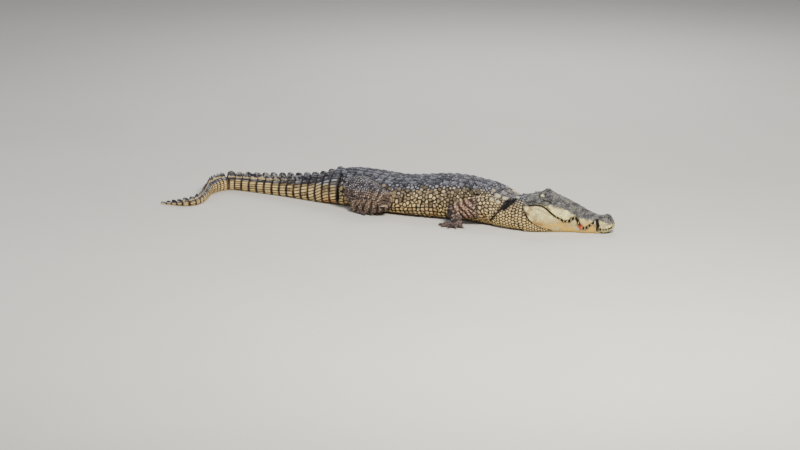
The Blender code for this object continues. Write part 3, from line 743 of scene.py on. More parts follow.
def head_relief(at):
    """Height of the head's folds, ridges, nostrils, ears and mouth, their darkness as painted shade, and how
    far it is gum.
    """
    s, left, up, side = at.s, at.left, at.up, np.abs(at.left)
    inner = np.minimum(s, HEAD_LENGTH)
    mouth, width = mouth_line(inner), jaw_width(inner)
    shut = (s < 0.53) * smooth(0.66, 0.86, side / width)
    steep = np.clip(np.abs(mouth_line(inner + 0.004) - mouth_line(np.maximum(inner - 0.004, 0))) / 0.012,
                    0, 1.8)
    gape = np.interp(s, [0.0, 0.07, 0.13, 0.19, 0.27, 0.33, 0.50],
                     [0.0045, 0.0055, 0.0062, 0.0115, 0.0110, 0.0066, 0.0044])
    closeness = (up - mouth + 0.002) / np.sqrt(1 + (1.5 * steep) ** 2)
    lips = bump(closeness, gape * (1 + 0.35 * steep)) * shut * smooth(0.524, 0.505, s)
    roll = (bump(up - mouth - 0.011, 0.006) + 0.5 * bump(up - mouth + 0.015, 0.007)) * shut
    flesh = bump(s - 0.200, 0.012) * bump(up - 0.040, 0.014) * shut
    notch = crease(s, up, ((0.103, 0.088), (0.099, 0.055), (0.100, 0.020)), 0.0062) * shut
    top = smooth(0.55, 0.8, (up - mouth) / np.maximum(head_top(inner) - mouth, 0.01))
    nostril = bump(s - 0.041, 0.0075) * bump(side - 0.013, 0.005) * top
    rim = bump(np.hypot(s - 0.041, side - 0.013) - 0.013, 0.005) * top
    ridge_line = np.interp(s, [0.10, 0.22, 0.38], [0.030, 0.042, 0.050])
    ridge = bump(side - ridge_line, 0.010) * smooth(0.10, 0.16, s) * smooth(0.40, 0.37, s) * smooth(0.4,
        0.6, top)
    knobs = ridge * (0.5 + 0.5 * np.sin(s / 0.0062)) + 0.6 * bump(s - 0.29, 0.03) * bump(left, 0.02) * top
    table = bump(side - np.interp(s, [0.46, 0.53], [0.068, 0.088]), 0.007) * smooth(0.455, 0.475,
        s) * smooth(0.55, 0.535, s)
    hollow = bump(left, 0.038) * smooth(0.44, 0.47, s) * smooth(0.545, 0.52, s) * top
    skull_end = crease(s, side, ((0.548, 0.0), (0.546, 0.06), (0.540, 0.10)), 0.006) * (up > 0.17)
    low_ear = head_top(inner) - 0.017
    ear = crease(s, up - low_ear, ((0.475, -0.002), (0.500, 0.000), (0.528, -0.006)), 0.0045) * (side > 0.05)
    flap = crease(s, up - low_ear, ((0.478, -0.010), (0.520, -0.013)), 0.006) * (side > 0.05)
    before_eye = crease(s, up, ((0.424, 0.205), (0.398, 0.200), (0.384, 0.190)), 0.0045) * (side > 0.045)
    fold = crease(s, up, ((0.500, 0.190), (0.440, 0.189), (0.405, 0.174), (0.380, 0.148)),
                  0.004) * (side > 0.075)
    second = crease(s, up, ((0.470, 0.158), (0.420, 0.138), (0.385, 0.108)), 0.005) * (side > 0.09)
    rear = bump((s - jaw_rear(up)) / 0.9 - 0.002, 0.0075) * smooth(0.21, 0.16, up) * smooth(0.05, 0.07, side)
    jowl = bump(s - 0.475, 0.045) * bump(up - 0.115, 0.055) * (side > 0.07)
    wrinkles = crease(s, up, ((0.535, 0.115), (0.500, 0.072), (0.440, 0.050)), 0.003) * (side > 0.08)
    height = (-0.0062 * lips - 0.0045 * notch + 0.0022 * roll - 0.010 * nostril + 0.003 * rim
              + 0.0034 * knobs + 0.0045 * table)
    height = height - 0.004 * hollow - 0.005 * skull_end - 0.006 * ear + 0.003 * flap - 0.0045 * before_eye
    height = height - 0.0035 * fold - 0.0022 * second - 0.009 * rear + 0.006 * jowl - 0.002 * wrinkles
    # Painted shade: the mouth's line, the notch, nostrils, ears and folds darkened, blackened in the paint.
    dark = (1.4 * lips + 1.2 * notch + 1.2 * nostril + 1.1 * ear + 0.9 * before_eye + 0.7 * fold
            + 0.3 * second + 0.85 * rear)
    dark = dark + 0.45 * wrinkles + 0.6 * skull_end + 0.25 * rim
    near_head = smooth(0.60, 0.56, s)
    return height * near_head, np.clip(dark, 0, 1) * near_head, flesh * near_head


def fold_relief(at):
    """Height of the folds of loose hide on the neck, shoulders, flanks and limbs, with their darkness as
    painted shade, and painted shadow behind the arms and where the limbs join the body.
    """
    s, up, side = at.s, at.up, np.abs(at.left)
    pocket = crease(s, up, ((0.618, 0.180), (0.632, 0.162), (0.646, 0.140)), 0.0185) * (side > 0.06)
    neck = crease(s, up, ((0.690, 0.205), (0.650, 0.176), (0.662, 0.130), (0.685, 0.090), (0.730, 0.030)),
                  0.008) * (side > 0.07)
    throat = crease(s, up, ((0.575, 0.130), (0.590, 0.080), (0.560, 0.030)), 0.006) * (side > 0.07) * 0.6
    shoulder = crease(s, up, ((0.905, 0.245), (0.912, 0.225), (0.955, 0.185), (0.965, 0.150)),
                      0.008) * (side > 0.06)
    hollow = crease(s, up, ((0.885, 0.188), (0.825, 0.166)), 0.012) * (side > 0.11)
    hip = crease(s, up, ((1.868, 0.196), (1.872, 0.130), (1.866, 0.050)), 0.013) * (side > 0.05)
    around = np.abs(at.arc) / np.interp(s, SECTION_S, PERIMETER)
    wander = 0.014 * np.sin(s / 0.037) + 0.008 * np.sin(s / 0.013)
    flank = bump(around - 0.300 - wander, 0.008) * smooth(1.0, 1.12, s) * smooth(1.86, 1.72, s)
    flank_low = bump(around - 0.355 + wander, 0.008) * smooth(0.9, 1.05, s) * smooth(1.9, 1.75, s)
    slack = sum(crease(s, up, ((a, 0.19), (a - 0.03, 0.12), (a + 0.01, 0.05)), 0.006) for a in (1.06, 1.16,
                                                                                                1.29, 1.40))
    run, turn, limb, arm = at.limb_run, at.limb_round, at.limb, at.arm
    wave = np.sin((run + 0.40 * turn) / 0.0056 + 1.4 * np.sin(turn / 0.03))
    arm_folds = smooth(-0.1, 0.7, wave) * limb * arm * smooth(0.30, 0.22, run) * smooth(0.06, 0.11, run)
    leg_wave = np.sin((run - 0.25 * turn) / 0.0072 + 1.2 * np.sin(turn / 0.035))
    leg_folds = smooth(0.0, 0.8, leg_wave) * limb * (1 - arm) * smooth(0.18, 0.28, run) * smooth(0.56,
                                                                                                 0.48, run)
    wrist = smooth(0.3, 1.0, np.sin(run / 0.0052)) * limb * (at.limb_length >= 1)
    joint_shade = 4 * limb * (1 - limb)
    trunk = 1 - limb
    height = -0.016 * pocket - 0.011 * neck - 0.005 * throat - 0.009 * shoulder - 0.008 * hollow - 0.016 * hip
    height = (height - 0.004 * flank - 0.004 * flank_low - 0.003 * slack) * trunk
    height = height - 0.0045 * arm_folds - 0.0030 * leg_folds - 0.0016 * wrist
    # Painted shade: the darkness of the neck's pocket, of the hip's crease behind the thigh and of every fold.
    dark = 1.7 * pocket + neck + 0.6 * throat + 0.9 * shoulder + 0.9 * hollow + 1.2 * hip
    dark = (dark + 0.20 * flank + 0.40 * flank_low + 0.45 * slack) * trunk
    # Painted shadow on the flank behind each arm, blackened in the paint.
    armpit_shadow = bump(s - 1.045, 0.040) * smooth(0.150, 0.100, up) * smooth(0.06, 0.10, side) * trunk
    dark = dark + 0.90 * arm_folds + 0.75 * leg_folds + 0.3 * wrist + 0.9 * armpit_shadow
    # Painted shade where each limb meets the body's hide.
    dark = dark + 0.75 * smooth(0.35, 1.0, joint_shade) * smooth(0.05, 0.12, np.where(arm > 0.5, run, 1.0))
    return height, np.clip(dark, 0, 1)


def eye_centre(sign):
    return stand(EYE_PLACE[0], sign * EYE_PLACE[1], EYE_PLACE[2])


def eye_axes(sign):
    """The way an eye looks, and the long and short ways of its opening."""
    _, forward = on_spine(EYE_PLACE[0])
    ahead = np.array([forward[0], forward[1], 0.0])
    out = np.array([-forward[1], forward[0], 0.0]) * sign
    look = 0.86 * out + 0.22 * ahead + 0.46 * np.array([0, 0, 1.0])
    look /= np.linalg.norm(look)
    wide = ahead - look * (ahead @ look)
    wide /= np.linalg.norm(wide)
    high = np.cross(look, wide)
    return look, wide, high * np.sign(high[2])


def set_eyes(points):
    """Opens the lids: hide over each ball is drawn in behind it, and round it stands up as a lid."""
    lids = np.zeros(len(points))
    for sign in (-1, 1):
        centre = eye_centre(sign)
        look, wide, high = eye_axes(sign)
        gap = points - centre
        distance = np.linalg.norm(gap, axis=1)
        near = np.flatnonzero(distance < 0.045)
        ray = gap[near] / distance[near, None]
        x, y = (ray @ wide) * EYE_RADIUS, (ray @ high) * EYE_RADIUS
        front = ray @ look
        upper = np.where(y > 0, 0.0085, 0.0080)
        opening = np.hypot(x / 0.0165, y / upper) + (front < 0.2) * 9
        inside = smooth(1.06, 0.94, opening)
        lid = bump(opening - 1.22, 0.24) * (front > 0)
        least = EYE_RADIUS + 0.0022 + 0.0022 * lid
        cover = smooth(2.6, 1.6, opening)
        held = np.maximum(distance[near], least)
        reach = mix(distance[near], held, cover)
        reach = mix(reach, EYE_RADIUS - 0.005, inside)
        points[near] = centre + ray * reach[:, None]
        # The lids' share of painted shade, darkened in the paint.
        lids[near] = np.maximum(lids[near], np.maximum(lid * 0.8, inside))
    return points, lids


# ---- The hide ----
def make_hide():
    """One skin over the whole body with its scales, folds and lids, its markings and painted shade kept as
    attributes.
    """
    skin = one_skin()
    co, edges = corners_of(skin.data), edges_of(skin.data)
    co = relax(co, edges, 2)
    rough = Places(co)
    join = relax(4 * rough.limb * (1 - rough.limb), edges, 3)
    co = relax(co, edges, 14, 0.5 * np.clip(1.6 * join, 0, 1))
    co[:, 2] = np.maximum(co[:, 2], 0.0)
    set_corners(skin.data, co)
    under_skin = BVHTree.FromPolygons([tuple(p) for p in co.tolist()],
                                      [tuple(f.vertices) for f in skin.data.polygons])
    skin.modifiers.new("finer", "SUBSURF").levels = 1
    applied(skin)
    co, normal = corners_of(skin.data), normals_of(skin.data)
    at = Places(co)
    scales, groove, tone, dome, belly, face = scale_relief(at)
    cover = under_scutes(at.s, at.arc) * (1 - at.limb)
    scales, groove, dome = scales * (1 - cover), groove * (1 - 0.5 * cover), dome * (1 - cover)
    features, head_shade, gum = head_relief(at)
    folds, fold_shade = fold_relief(at)
    rest = smooth(0.001, 0.014, co[:, 2])
    plain = 1 - np.clip(fold_shade, 0, 1) * 0.6
    co = co + normal * ((scales * plain + features + folds) * rest)[:, None]
    co, lids = set_eyes(co)
    co = np.clip(co, np.array(cad_box[0]), np.array(cad_box[1]) - BOX_MARGIN)
    set_corners(skin.data, co)
    skin.data.polygons.foreach_set("use_smooth", np.ones(len(skin.data.polygons), bool))
    # crease holds the painted shade of folds, creases, recesses, the armpits and limb joins; lid the painted
    # shade round the eyes.
    marks = {
        "groove": groove * rest, "crease": np.maximum(head_shade, fold_shade) * rest, "tone": tone,
        "belly": belly,
        "dome": dome, "gum": gum, "lid": lids, **markings(at, face),
    }
    for name, values in marks.items():
        keep_values(skin.data, name, values)
    unwrap_hide(skin.data, at)
    return skin, under_skin


def keep_values(mesh, name, values):
    layer = mesh.attributes.new(name, "FLOAT", "POINT")
    layer.data.foreach_set("value", np.asarray(values, np.float32))


def markings(at, face):
    """The large markings, each as a share, and how far along the body and how high each point is."""
    s, up, side = at.s, at.up, np.abs(at.left)
    girth = np.abs(at.arc) / np.interp(s, SECTION_S, PERIMETER)
    edge = np.interp(s, [0.6, 0.75, 0.92, 1.1, 1.4, 1.7, 1.95, 2.3, 2.7, 2.85, 3.3],
                     [0.11, 0.09, 0.10, 0.14, 0.165, 0.19, 0.17, 0.12, 0.12, 0.10, 0.10])
    back = smooth(edge + 0.095, edge - 0.055, girth)
    line = np.interp(s, [0.0, 0.05, 0.10, 0.15, 0.20, 0.25, 0.30, 0.35, 0.40, 0.45, 0.545],
                     [0.066, 0.078, 0.082, 0.084, 0.096, 0.120, 0.144, 0.162, 0.176, 0.184, 0.166])
    back = mix(back, smooth(-0.030, 0.024, up - line), face)
    ochre = face * smooth(0.110, 0.045, up) * smooth(0.05, 0.12, s)
    stain = 1.2 * bump(s - 0.520 + 0.9 * np.abs(up - 0.13), 0.016) * smooth(0.185, 0.160, up)
    stain = stain + bump(s - 0.445, 0.035) * bump(up - 0.062, 0.018)
    rust = bump(s - 1.93, 0.05) * smooth(0.085, 0.04, up) * smooth(0.03, 0.07, side)
    high_leg = smooth(0.115, 0.195, up) * (1 - at.arm)
    return {
        "back": mix(back, np.maximum(0.6 * back, high_leg), at.limb_skin), "limb": at.limb_skin,
        "shin": at.limb_skin * (1 - at.arm) * smooth(0.17, 0.32, at.limb_run)
        * smooth(0.64, 0.54, at.limb_run),
        "pink": at.limb_skin * at.arm * smooth(0.235, 0.175, at.limb_run)
        * smooth(0.07, 0.13, at.limb_run), "face": face, "nose": face * smooth(0.115, 0.085, s),
        "ochre": ochre, "stain": np.clip(stain, 0, 1) * face * smooth(0.05, 0.08, side),
        "rust": rust * (1 - at.limb),
        "paw": smooth(0.5, 1.5, at.limb_length.astype(float)) * at.limb_skin, "run": s / TAIL_TIP,
        "height": up,
    }


def unwrap_hide(mesh, at):
    """The hide laid flat for baking: the body as one sheet cut along the belly, and a patch for each limb."""
    count = len(mesh.loops)
    corner = np.empty(count, np.int32)
    mesh.loops.foreach_get("vertex_index", corner)
    corner = corner.reshape(-1, 4)
    girth = np.interp(at.s, SECTION_S, PERIMETER)
    turn = (at.arc / girth)[corner]
    split = (turn.max(1) - turn.min(1)) > 0.5
    turn[split] = np.where(turn[split] < 0, turn[split] + 1, turn[split])
    turn = np.clip(turn, -0.5, 0.54)
    u = 0.01 + 0.97 * (at.s / TAIL_TIP)[corner]
    v = 0.37 + 0.68 * turn
    limb = (at.limb[corner].mean(1) > 0.5) & (at.limb[corner].min(1) > 0.02)
    quarter = (at.left[corner].mean(1) > 0) * 0.5 + (at.arm[corner].mean(1) > 0.5) * 0.25
    limb_u = quarter[:, None] + 0.005 + 0.235 * np.clip(at.limb_run[corner] / 0.62, 0, 1)
    limb_v = 0.875 + 0.11 * np.clip(at.limb_round[corner] / 0.28, -1, 1)
    u, v = np.where(limb[:, None], limb_u, u), np.where(limb[:, None], limb_v, v)
    layer = mesh.uv_layers.new(name="OFBake")
    layer.data.foreach_set("uv", np.stack([u, v], -1).astype(np.float32).ravel())


# ---- Scutes ----
def on_surface(s, arc):
    """Points of the body's plain surface at s and a distance round from the ridge of the back."""
    s, arc = np.broadcast_arrays(np.asarray(s, float), arc)
    girth = np.interp(s, SECTION_S, PERIMETER)
    j = np.clip((s - SECTION_S[0]) / SECTION_STEP, 0, len(SECTION_S) - 1.001)
    k = ((0.5 - arc / girth) % 1.0) * ROUND
    i, f, m, g = j.astype(int), (j % 1)[..., None], k.astype(int) % ROUND, (k % 1)[..., None]
    n = (m + 1) % ROUND
    flat = (SECTIONS[i, m] * (1 - g) + SECTIONS[i, n] * g) * (1 - f) + (SECTIONS[i + 1, m] * (1 - g)
                                                                        + SECTIONS[i + 1, n] * g) * f
    return stand(s, flat[..., 0], flat[..., 1])


def surface_normal(s, arc):
    """The direction out of the body's surface, as keels stand along it."""
    step = 0.005
    ahead = on_surface(s + step, arc) - on_surface(s - step, arc)
    around = on_surface(s, arc + step) - on_surface(s, arc - step)
    normal = np.cross(around, ahead)
    normal /= np.linalg.norm(normal, axis=-1, keepdims=True)
    return normal


def on_hide(points, normals, skin_tree):
    """Points moved along their normals onto the hide."""
    flat, out = points.reshape(-1, 3).copy(), normals.reshape(-1, 3)
    for k in range(len(flat)):
        start = Vector(flat[k] + 0.03 * out[k])
        hit = skin_tree.ray_cast(start, Vector(-out[k]), 0.06)
        if hit[0] is not None:
            flat[k] = hit[0]
    return flat.reshape(points.shape)


SCUTE_LONG, SCUTE_WIDE = 11, 9


def scute_plan():
    """Every scute of the back as (s, round, length, width, thickness, keel)."""
    rows = []
    for s in np.arange(BACK_START, BACK_END, BACK_ROW):
        pairs = 2 if s < 0.86 or s > 1.80 else 3
        wide = 0.90 * float(np.interp(s, [0.8, 1.1, 1.5, 1.9], [0.040, 0.049, 0.049, 0.040]))
        for pair in range(pairs):
            for sign in (-1, 1):
                keel = (0.0035, 0.0045, 0.0045)[pair]
                rows.append((s + 0.5 * BACK_ROW, sign * wide * (pair + 0.5) * 1.10, 0.89 * BACK_ROW, wide,
                             0.0030, keel))
    for s, around, length, width, keel in (
        (0.662, 0.025, 0.046, 0.044, 0.009), (0.712, 0.027, 0.048, 0.048, 0.009),
        (0.672, 0.073, 0.042, 0.042, 0.009),
        (0.720, 0.080, 0.046, 0.044, 0.009), (0.592, 0.018, 0.024, 0.026, 0.006),
        (0.598, 0.054, 0.026, 0.026, 0.006),
        (0.768, 0.024, 0.034, 0.036, 0.006), (0.770, 0.066, 0.034, 0.036, 0.005),
        (0.690, 0.118, 0.032, 0.030, 0.005),
        (0.735, 0.126, 0.032, 0.030, 0.005),
    ):
        rows += [(s, sign * around, length, width, 0.0042, keel) for sign in (-1, 1)]
    return rows


def flank_plan():
    """Loose rows of raised oval scutes below the back's, as (s, round, length, width, thickness, keel)."""
    rng = np.random.default_rng(12)
    rows = []
    for k, s in enumerate(np.arange(0.80, 1.73, 0.5 * BACK_ROW)):
        for sign in (-1, 1):
            for ring in range(3):
                if (k + ring) % 2 or rng.random() < 0.22:
                    continue
                around = float(np.interp(s, [0.8, 1.1, 1.5, 1.9],
                                         [0.128, 0.176, 0.176, 0.112])) + 0.030 * ring
                size = (0.030, 0.026, 0.022)[ring] * (0.85 + 0.30 * rng.random())
                shift = 0.005 * rng.normal(0, 1, 2)
                if not (ring > 0 and (s < 0.98 or s > 1.46)):
                    rows.append((s + shift[0], sign * (around + shift[1]), 1.15 * size, size, 0.0028, 0.0020))
    return rows


def tail_plan():
    """The scutes between and outside the tail's crests."""
    rows = []
    for s in np.arange(TAIL_START, WHIP_START - 0.02, TAIL_ROW):
        middle = s + 0.5 * TAIL_ROW
        spread = float(body_width(middle) * crest_spread(middle))
        rows += [(middle, sign * 0.5 * spread, 0.92 * TAIL_ROW, 0.80 * spread, 0.002,
                  0.003) for sign in (-1, 1)]
        tall = float(np.clip(0.30 * body_top(middle), 0.02, 0.042))
        rows += [(middle, sign * (spread + 0.62 * tall), 0.92 * TAIL_ROW, tall, 0.003,
                  0.004) for sign in (-1, 1)]
    return rows


def under_scutes(s, arc):
    """1 where a scute lies over the hide, so that no scale of the hide comes up through it."""
    order = np.argsort(s)
    sorted_s, cover = s[order], np.zeros(len(s))
    for middle, around, length, width, *_ in scute_plan() + flank_plan() + tail_plan():
        first, last = np.searchsorted(sorted_s, (middle - 0.5 * length, middle + 0.5 * length))
        near = order[first:last]
        out = np.maximum(np.abs(s[near] - middle) / (0.5 * length),
                         np.abs(arc[near] - around) / (0.5 * width))
        cover[near] = np.maximum(cover[near], smooth(1.02, 0.88, out))
    return cover


def scutes(name, plan, skin_tree, squareness):
    """Keeled scutes set into the hide, as one mesh; a squareness of 2 makes them oval."""
    plan = np.array(plan)
    a = np.linspace(-1, 1, SCUTE_LONG)[:, None] * np.ones(SCUTE_WIDE)
    b = np.ones(SCUTE_LONG)[:, None] * np.linspace(-1, 1, SCUTE_WIDE)
    rounded = (np.abs(a) ** squareness + np.abs(b) ** squareness) ** (1 / squareness)
    square = np.maximum(np.abs(a), np.abs(b)) / np.maximum(rounded, 1e-6)
    edge = np.maximum(np.abs(a), np.abs(b)).ravel()
    a, b = (a * np.minimum(square, 1.0)).ravel(), (b * np.minimum(square, 1.0)).ravel()
    rng = np.random.default_rng(5)
    s, arc, length, width, thick, keel = [plan[:, k][:, None] for k in range(6)]
    wobble = rng.normal(0, 1, (len(plan), 4))
    s = s + 0.0012 * wobble[:, :1]
    arc = arc + 0.0012 * wobble[:, 1:2]
    places = s + 0.5 * length * a, arc + 0.5 * width * b * (1 + 0.03 * wobble[:, 2:3])
    normal = surface_normal(*places)
    root = on_hide(on_surface(*places), normal, skin_tree)
    body = 1 - smooth(0.60, 1.0, edge)
    rise = smooth(-0.95, 0.55, a) * smooth(1.02, 0.62, a)
    ridge = np.maximum(0, 1 - np.abs(b) / 0.42) ** 1.3
    pits = 0.0004 * (chance(np.arange(a.size)[None] + 97 * np.arange(len(plan))[:, None], np.zeros((1, 1)),
                            3) - 0.5)
    height = thick * body + keel * (1 + 0.15 * wobble[:, 3:4]) * rise * ridge + pits - 0.0035 * (edge > 0.97)
    points = root + normal * height[..., None]
    points[..., 2] = np.clip(points[..., 2], 0.001, SCUTE_TOP)
    grid = np.arange(SCUTE_LONG * SCUTE_WIDE).reshape(SCUTE_LONG, SCUTE_WIDE)
    quads = np.stack([grid[:-1, :-1], grid[:-1, 1:], grid[1:, 1:], grid[1:, :-1]], -1).reshape(-1, 4)
    rim = np.concatenate([grid[0, :], grid[1:, -1], grid[-1, -2::-1], grid[-2:0:-1, 0]])
    faces, size = [], SCUTE_LONG * SCUTE_WIDE
    for k in range(len(plan)):
        faces += [tuple(f) for f in (quads + k * size).tolist()]
        faces.append(tuple((rim[::-1] + k * size).tolist()))
    made = mesh_object(name, points.reshape(-1, 3), faces)
    settle(made)
    ones = np.ones_like(places[0])
    keep_values(made.data, "ridge", (ridge * rise * ones).ravel())
    keep_values(made.data, "rim", (smooth(0.58, 0.98, edge) * ones).ravel())
    keep_values(made.data, "tone", (rng.random((len(plan), 1)) * ones).ravel())
    keep_values(made.data, "nape", (smooth(0.80, 0.74, s) * smooth(0.015, 0.05, np.abs(arc)) * ones).ravel())
    keep_values(made.data, "aside", (np.abs(arc) / 0.14 * ones).ravel())
    place_patches(made.data, s * ones, arc * ones, a * ones, b * ones)
    return made


def settle(made):
    """Faces turned outward and shaded smooth."""
    mesh = made.data
    mesh.calc_loop_triangles()
    corner = np.empty(len(mesh.loop_triangles) * 3, np.int32)
    mesh.loop_triangles.foreach_get("vertices", corner)
    a, b, c = corners_of(mesh)[corner.reshape(-1, 3)].transpose(1, 0, 2)
    if (a * np.cross(b, c)).sum() < 0:
        mesh.flip_normals()
    made.data.polygons.foreach_set("use_smooth", np.ones(len(made.data.polygons), bool))
    made.data.update()


def place_patches(mesh, s, arc, a, b):
    """The bake's map: each scute a small patch at its root's place on the hide laid flat."""
    girth = np.interp(s, SECTION_S, PERIMETER)
    u = 0.01 + 0.97 * s / TAIL_TIP + 0.0015 * a
    v = 0.37 + 0.68 * arc / girth + 0.0015 * b
    place = np.stack([u, v], -1).reshape(-1, 2)
    corner = np.empty(len(mesh.loops), np.int32)
    mesh.loops.foreach_get("vertex_index", corner)
    layer = mesh.uv_layers.new(name="OFBake")
    layer.data.foreach_set("uv", place[corner].astype(np.float32).ravel())


def top_at(s, left):
    """The height of the tail's plain surface at a distance left of its ridge."""
    section = body_section(s)
    upper = section[section[:, 1] > 0.5 * section[:, 1].max()]
    upper = upper[np.argsort(upper[:, 0])]
    return float(np.interp(left, upper[:, 0], upper[:, 1]))


def crest_plan():
    """Every upright crest blade as (s, left, base, length, height, thickness)."""
    rows = []
    for s in np.arange(TAIL_START, WHIP_START - 0.02, TAIL_ROW):
        middle = s + 0.5 * TAIL_ROW
        high = float(crest_height(middle))
        left = float(body_width(middle) * crest_spread(middle))
        if middle > 2.70:
            left = 0.006
        high *= 0.25 + 0.70 * float(smooth(2.0, 2.40, middle))
        for sign in (-1, 1):
            base = top_at(middle, left) - 0.010
            high_above = float(body_top(middle)) + high - base
            rows.append((middle, sign * left, base, 1.04 * TAIL_ROW, high_above, 0.0085))
    for s in np.arange(WHIP_START, TAIL_TIP - 0.03, WHIP_ROW):
        middle = s + 0.5 * WHIP_ROW
        high = float(crest_height(middle))
        rows.append((middle, 0.0, float(body_top(middle)) - 0.010, 1.12 * WHIP_ROW, 0.94 * high + 0.008,
                     0.0042))
    return rows


def crests(name, plan):
    """The tail's upright blades: thick at the root, thin and leaning back at the tip."""
    sides, levels = 16, 9
    rng = np.random.default_rng(8)
    turn = 2 * np.pi * np.arange(sides) / sides
    points, faces, marks = [], [], []
    for s, left, base, length, high, thick in plan:
        high = high * (1 + 0.03 * rng.normal())
        lean = 0.07 + 0.02 * rng.normal()
        rings = []
        for level in range(levels):
            v = level / (levels - 1)
            half = 0.5 * length * (1 - 0.25 * v) * (1 - v**4.0) ** 0.42 + 0.0010
            side = thick * (1 - v) ** 0.95 + 0.0009
            across = left * (1 + 0.25 * v) + side * np.sin(turn) * (1 - 0.25 * np.abs(np.cos(turn)) ** 3)
            at_s = s + lean * length * v + half * np.cos(turn)
            slope = 1 + 0.06 * np.cos(turn) * (half / (0.5 * length))
            rings.append(stand(np.clip(at_s, 0, TAIL_TIP), across, base + high * v * slope))
            marks.append(np.column_stack([np.full(sides, v), np.abs(np.cos(turn)) ** 2, at_s]))
        blade, blade_faces = loft(rings)
        marks.append(np.array([[0.0, 0.0, s], [1.0, 0.0, s + lean * length]]))
        faces += [tuple(i + sum(len(p) for p in points) for i in face) for face in blade_faces]
        points.append(blade)
    made = mesh_object(name, np.vstack(points), faces)
    settle(made)
    marks = np.vstack(marks)
    keep_values(made.data, "up_blade", marks[:, 0])
    keep_values(made.data, "rim", marks[:, 1])
    keep_values(made.data, "run", marks[:, 2] / TAIL_TIP)
    each = np.repeat(np.arange(len(plan)), sides * levels + 2)
    place = np.array(plan)[each]
    spot = (np.arange(len(each)) % (sides * levels + 2)) / (sides * levels + 2)
    place_patches(made.data, place[:, 0], place[:, 1], np.cos(6.28 * spot), 2 * marks[:, 0] - 1)
    return made


# ---- Teeth, claws and eyes ----
def horn(root, tip, radius, bend, sides=12, levels=8, flat=0.85):
    """A curved point from root to tip, bowed by the vector bend."""
    root, tip, bend = np.array(root, float), np.array(tip, float), np.array(bend, float)
    along = (tip - root) / np.linalg.norm(tip - root)
    across = np.cross(along, (0.1, 0.2, 1.0) if abs(along[2]) < 0.9 else (1.0, 0, 0))
    across /= np.linalg.norm(across)
    upright = np.cross(across, along)
    rings = []
    for level in range(levels):
        v = level / (levels - 1)
        centre = root + (tip - root) * v + bend * (4 * v * (1 - v))
        r = radius * (1 - v**1.6) ** 0.9 + 0.0003
        turn = 2 * np.pi * np.arange(sides) / sides
        rings.append(centre + r * flat * np.cos(turn)[:, None] * across + r * np.sin(turn)[:, None] * upright)
    return rings


def joined_lofts(name, groups, attribute):
    points, faces, values, first = [], [], [], 0
    for rings in groups:
        p, f = loft(rings)
        faces += [tuple(i + first for i in face) for face in f]
        points.append(p)
        values.append(np.concatenate([np.repeat(np.linspace(0, 1, len(rings)), len(rings[0])), [0, 1]]))
        first += len(p)
    made = mesh_object(name, np.vstack(points), faces)
    settle(made)
    keep_values(made.data, attribute, np.concatenate(values))
    return made


def teeth():
    groups = []
    for sign in (-1, 1):
        for s, hang in UPPER_TEETH:
            side, line = sign * (float(jaw_width(s)) - 0.0050), float(mouth_line(s))
            hang = hang * (0.80 if 0.13 < s < 0.31 else 1.0)
            root, tip = stand(s, side, line + 0.006), stand(s + 0.001, side + sign * 0.0005, line - hang)
            groups.append(horn(root, tip, 0.0029 + 0.09 * (hang - 0.009),
                               stand(s, side + sign * 0.0012, line) - stand(s, side, line)))
        root, tip = stand(0.113, sign * 0.0575, 0.052), stand(0.112, sign * 0.0560, 0.088)
        groups.append(horn(root, tip, 0.0062,
                           stand(0.113, sign * 0.059, 0.06) - stand(0.113, sign * 0.0575, 0.06)))
        for s in (0.132, 0.153, 0.240, 0.262, 0.286):
            side = sign * (float(lower_width(s)) + 0.001)
            line = float(mouth_line(s))
            groups.append(horn(stand(s, side, line - 0.010), stand(s, side + sign * 0.001, line + 0.002),
                               0.0026, (0, 0, 0)))
    return joined_lofts("teeth", groups, "up_horn")


def claws():
    groups = []
    for name, lengths, tips in LIMBS:
        root = np.array([*lengths[2][1][:2], 0.0])
        for i in (2, 3, 4) if name.startswith("arm") else (0, 1, 2):
            end = np.array([*tips[i], 0.0])
            way = (end - root) / np.linalg.norm(end - root)
            shift = np.array([*BOX_SHIFT, 0.0])
            base, tip = end - way * 0.017 + shift, end + way * 0.007 + shift
            base[2], tip[2] = 0.0100, 0.0022
            groups.append(horn(base, tip, 0.0060, (0, 0, 0.0035), flat=0.8))
    return joined_lofts("claws", groups, "up_horn")


def eye(name, sign):
    """An eyeball, with its slit pupil's place kept as attributes."""
    centre = eye_centre(sign)
    look, wide, high = eye_axes(sign)
    rings = []
    for polar in np.linspace(0.02, math.pi - 0.02, 48):
        turn = 2 * np.pi * np.arange(64) / 64
        ray = math.cos(polar) * look + math.sin(polar) * (np.cos(turn)[:, None] * wide
                                                          + np.sin(turn)[:, None] * high)
        bulge = EYE_RADIUS * (1 + 0.05 * float(smooth(0.55, 0.2, polar)))
        rings.append(centre + (bulge - 0.0002) * ray)
    points, faces = loft(rings)
    made = mesh_object(name, points, faces)
    settle(made)
    ray = (points - centre) / np.linalg.norm(points - centre, axis=1)[:, None]
    keep_values(made.data, "ahead", ray @ wide)
    keep_values(made.data, "above", ray @ high)
    return made


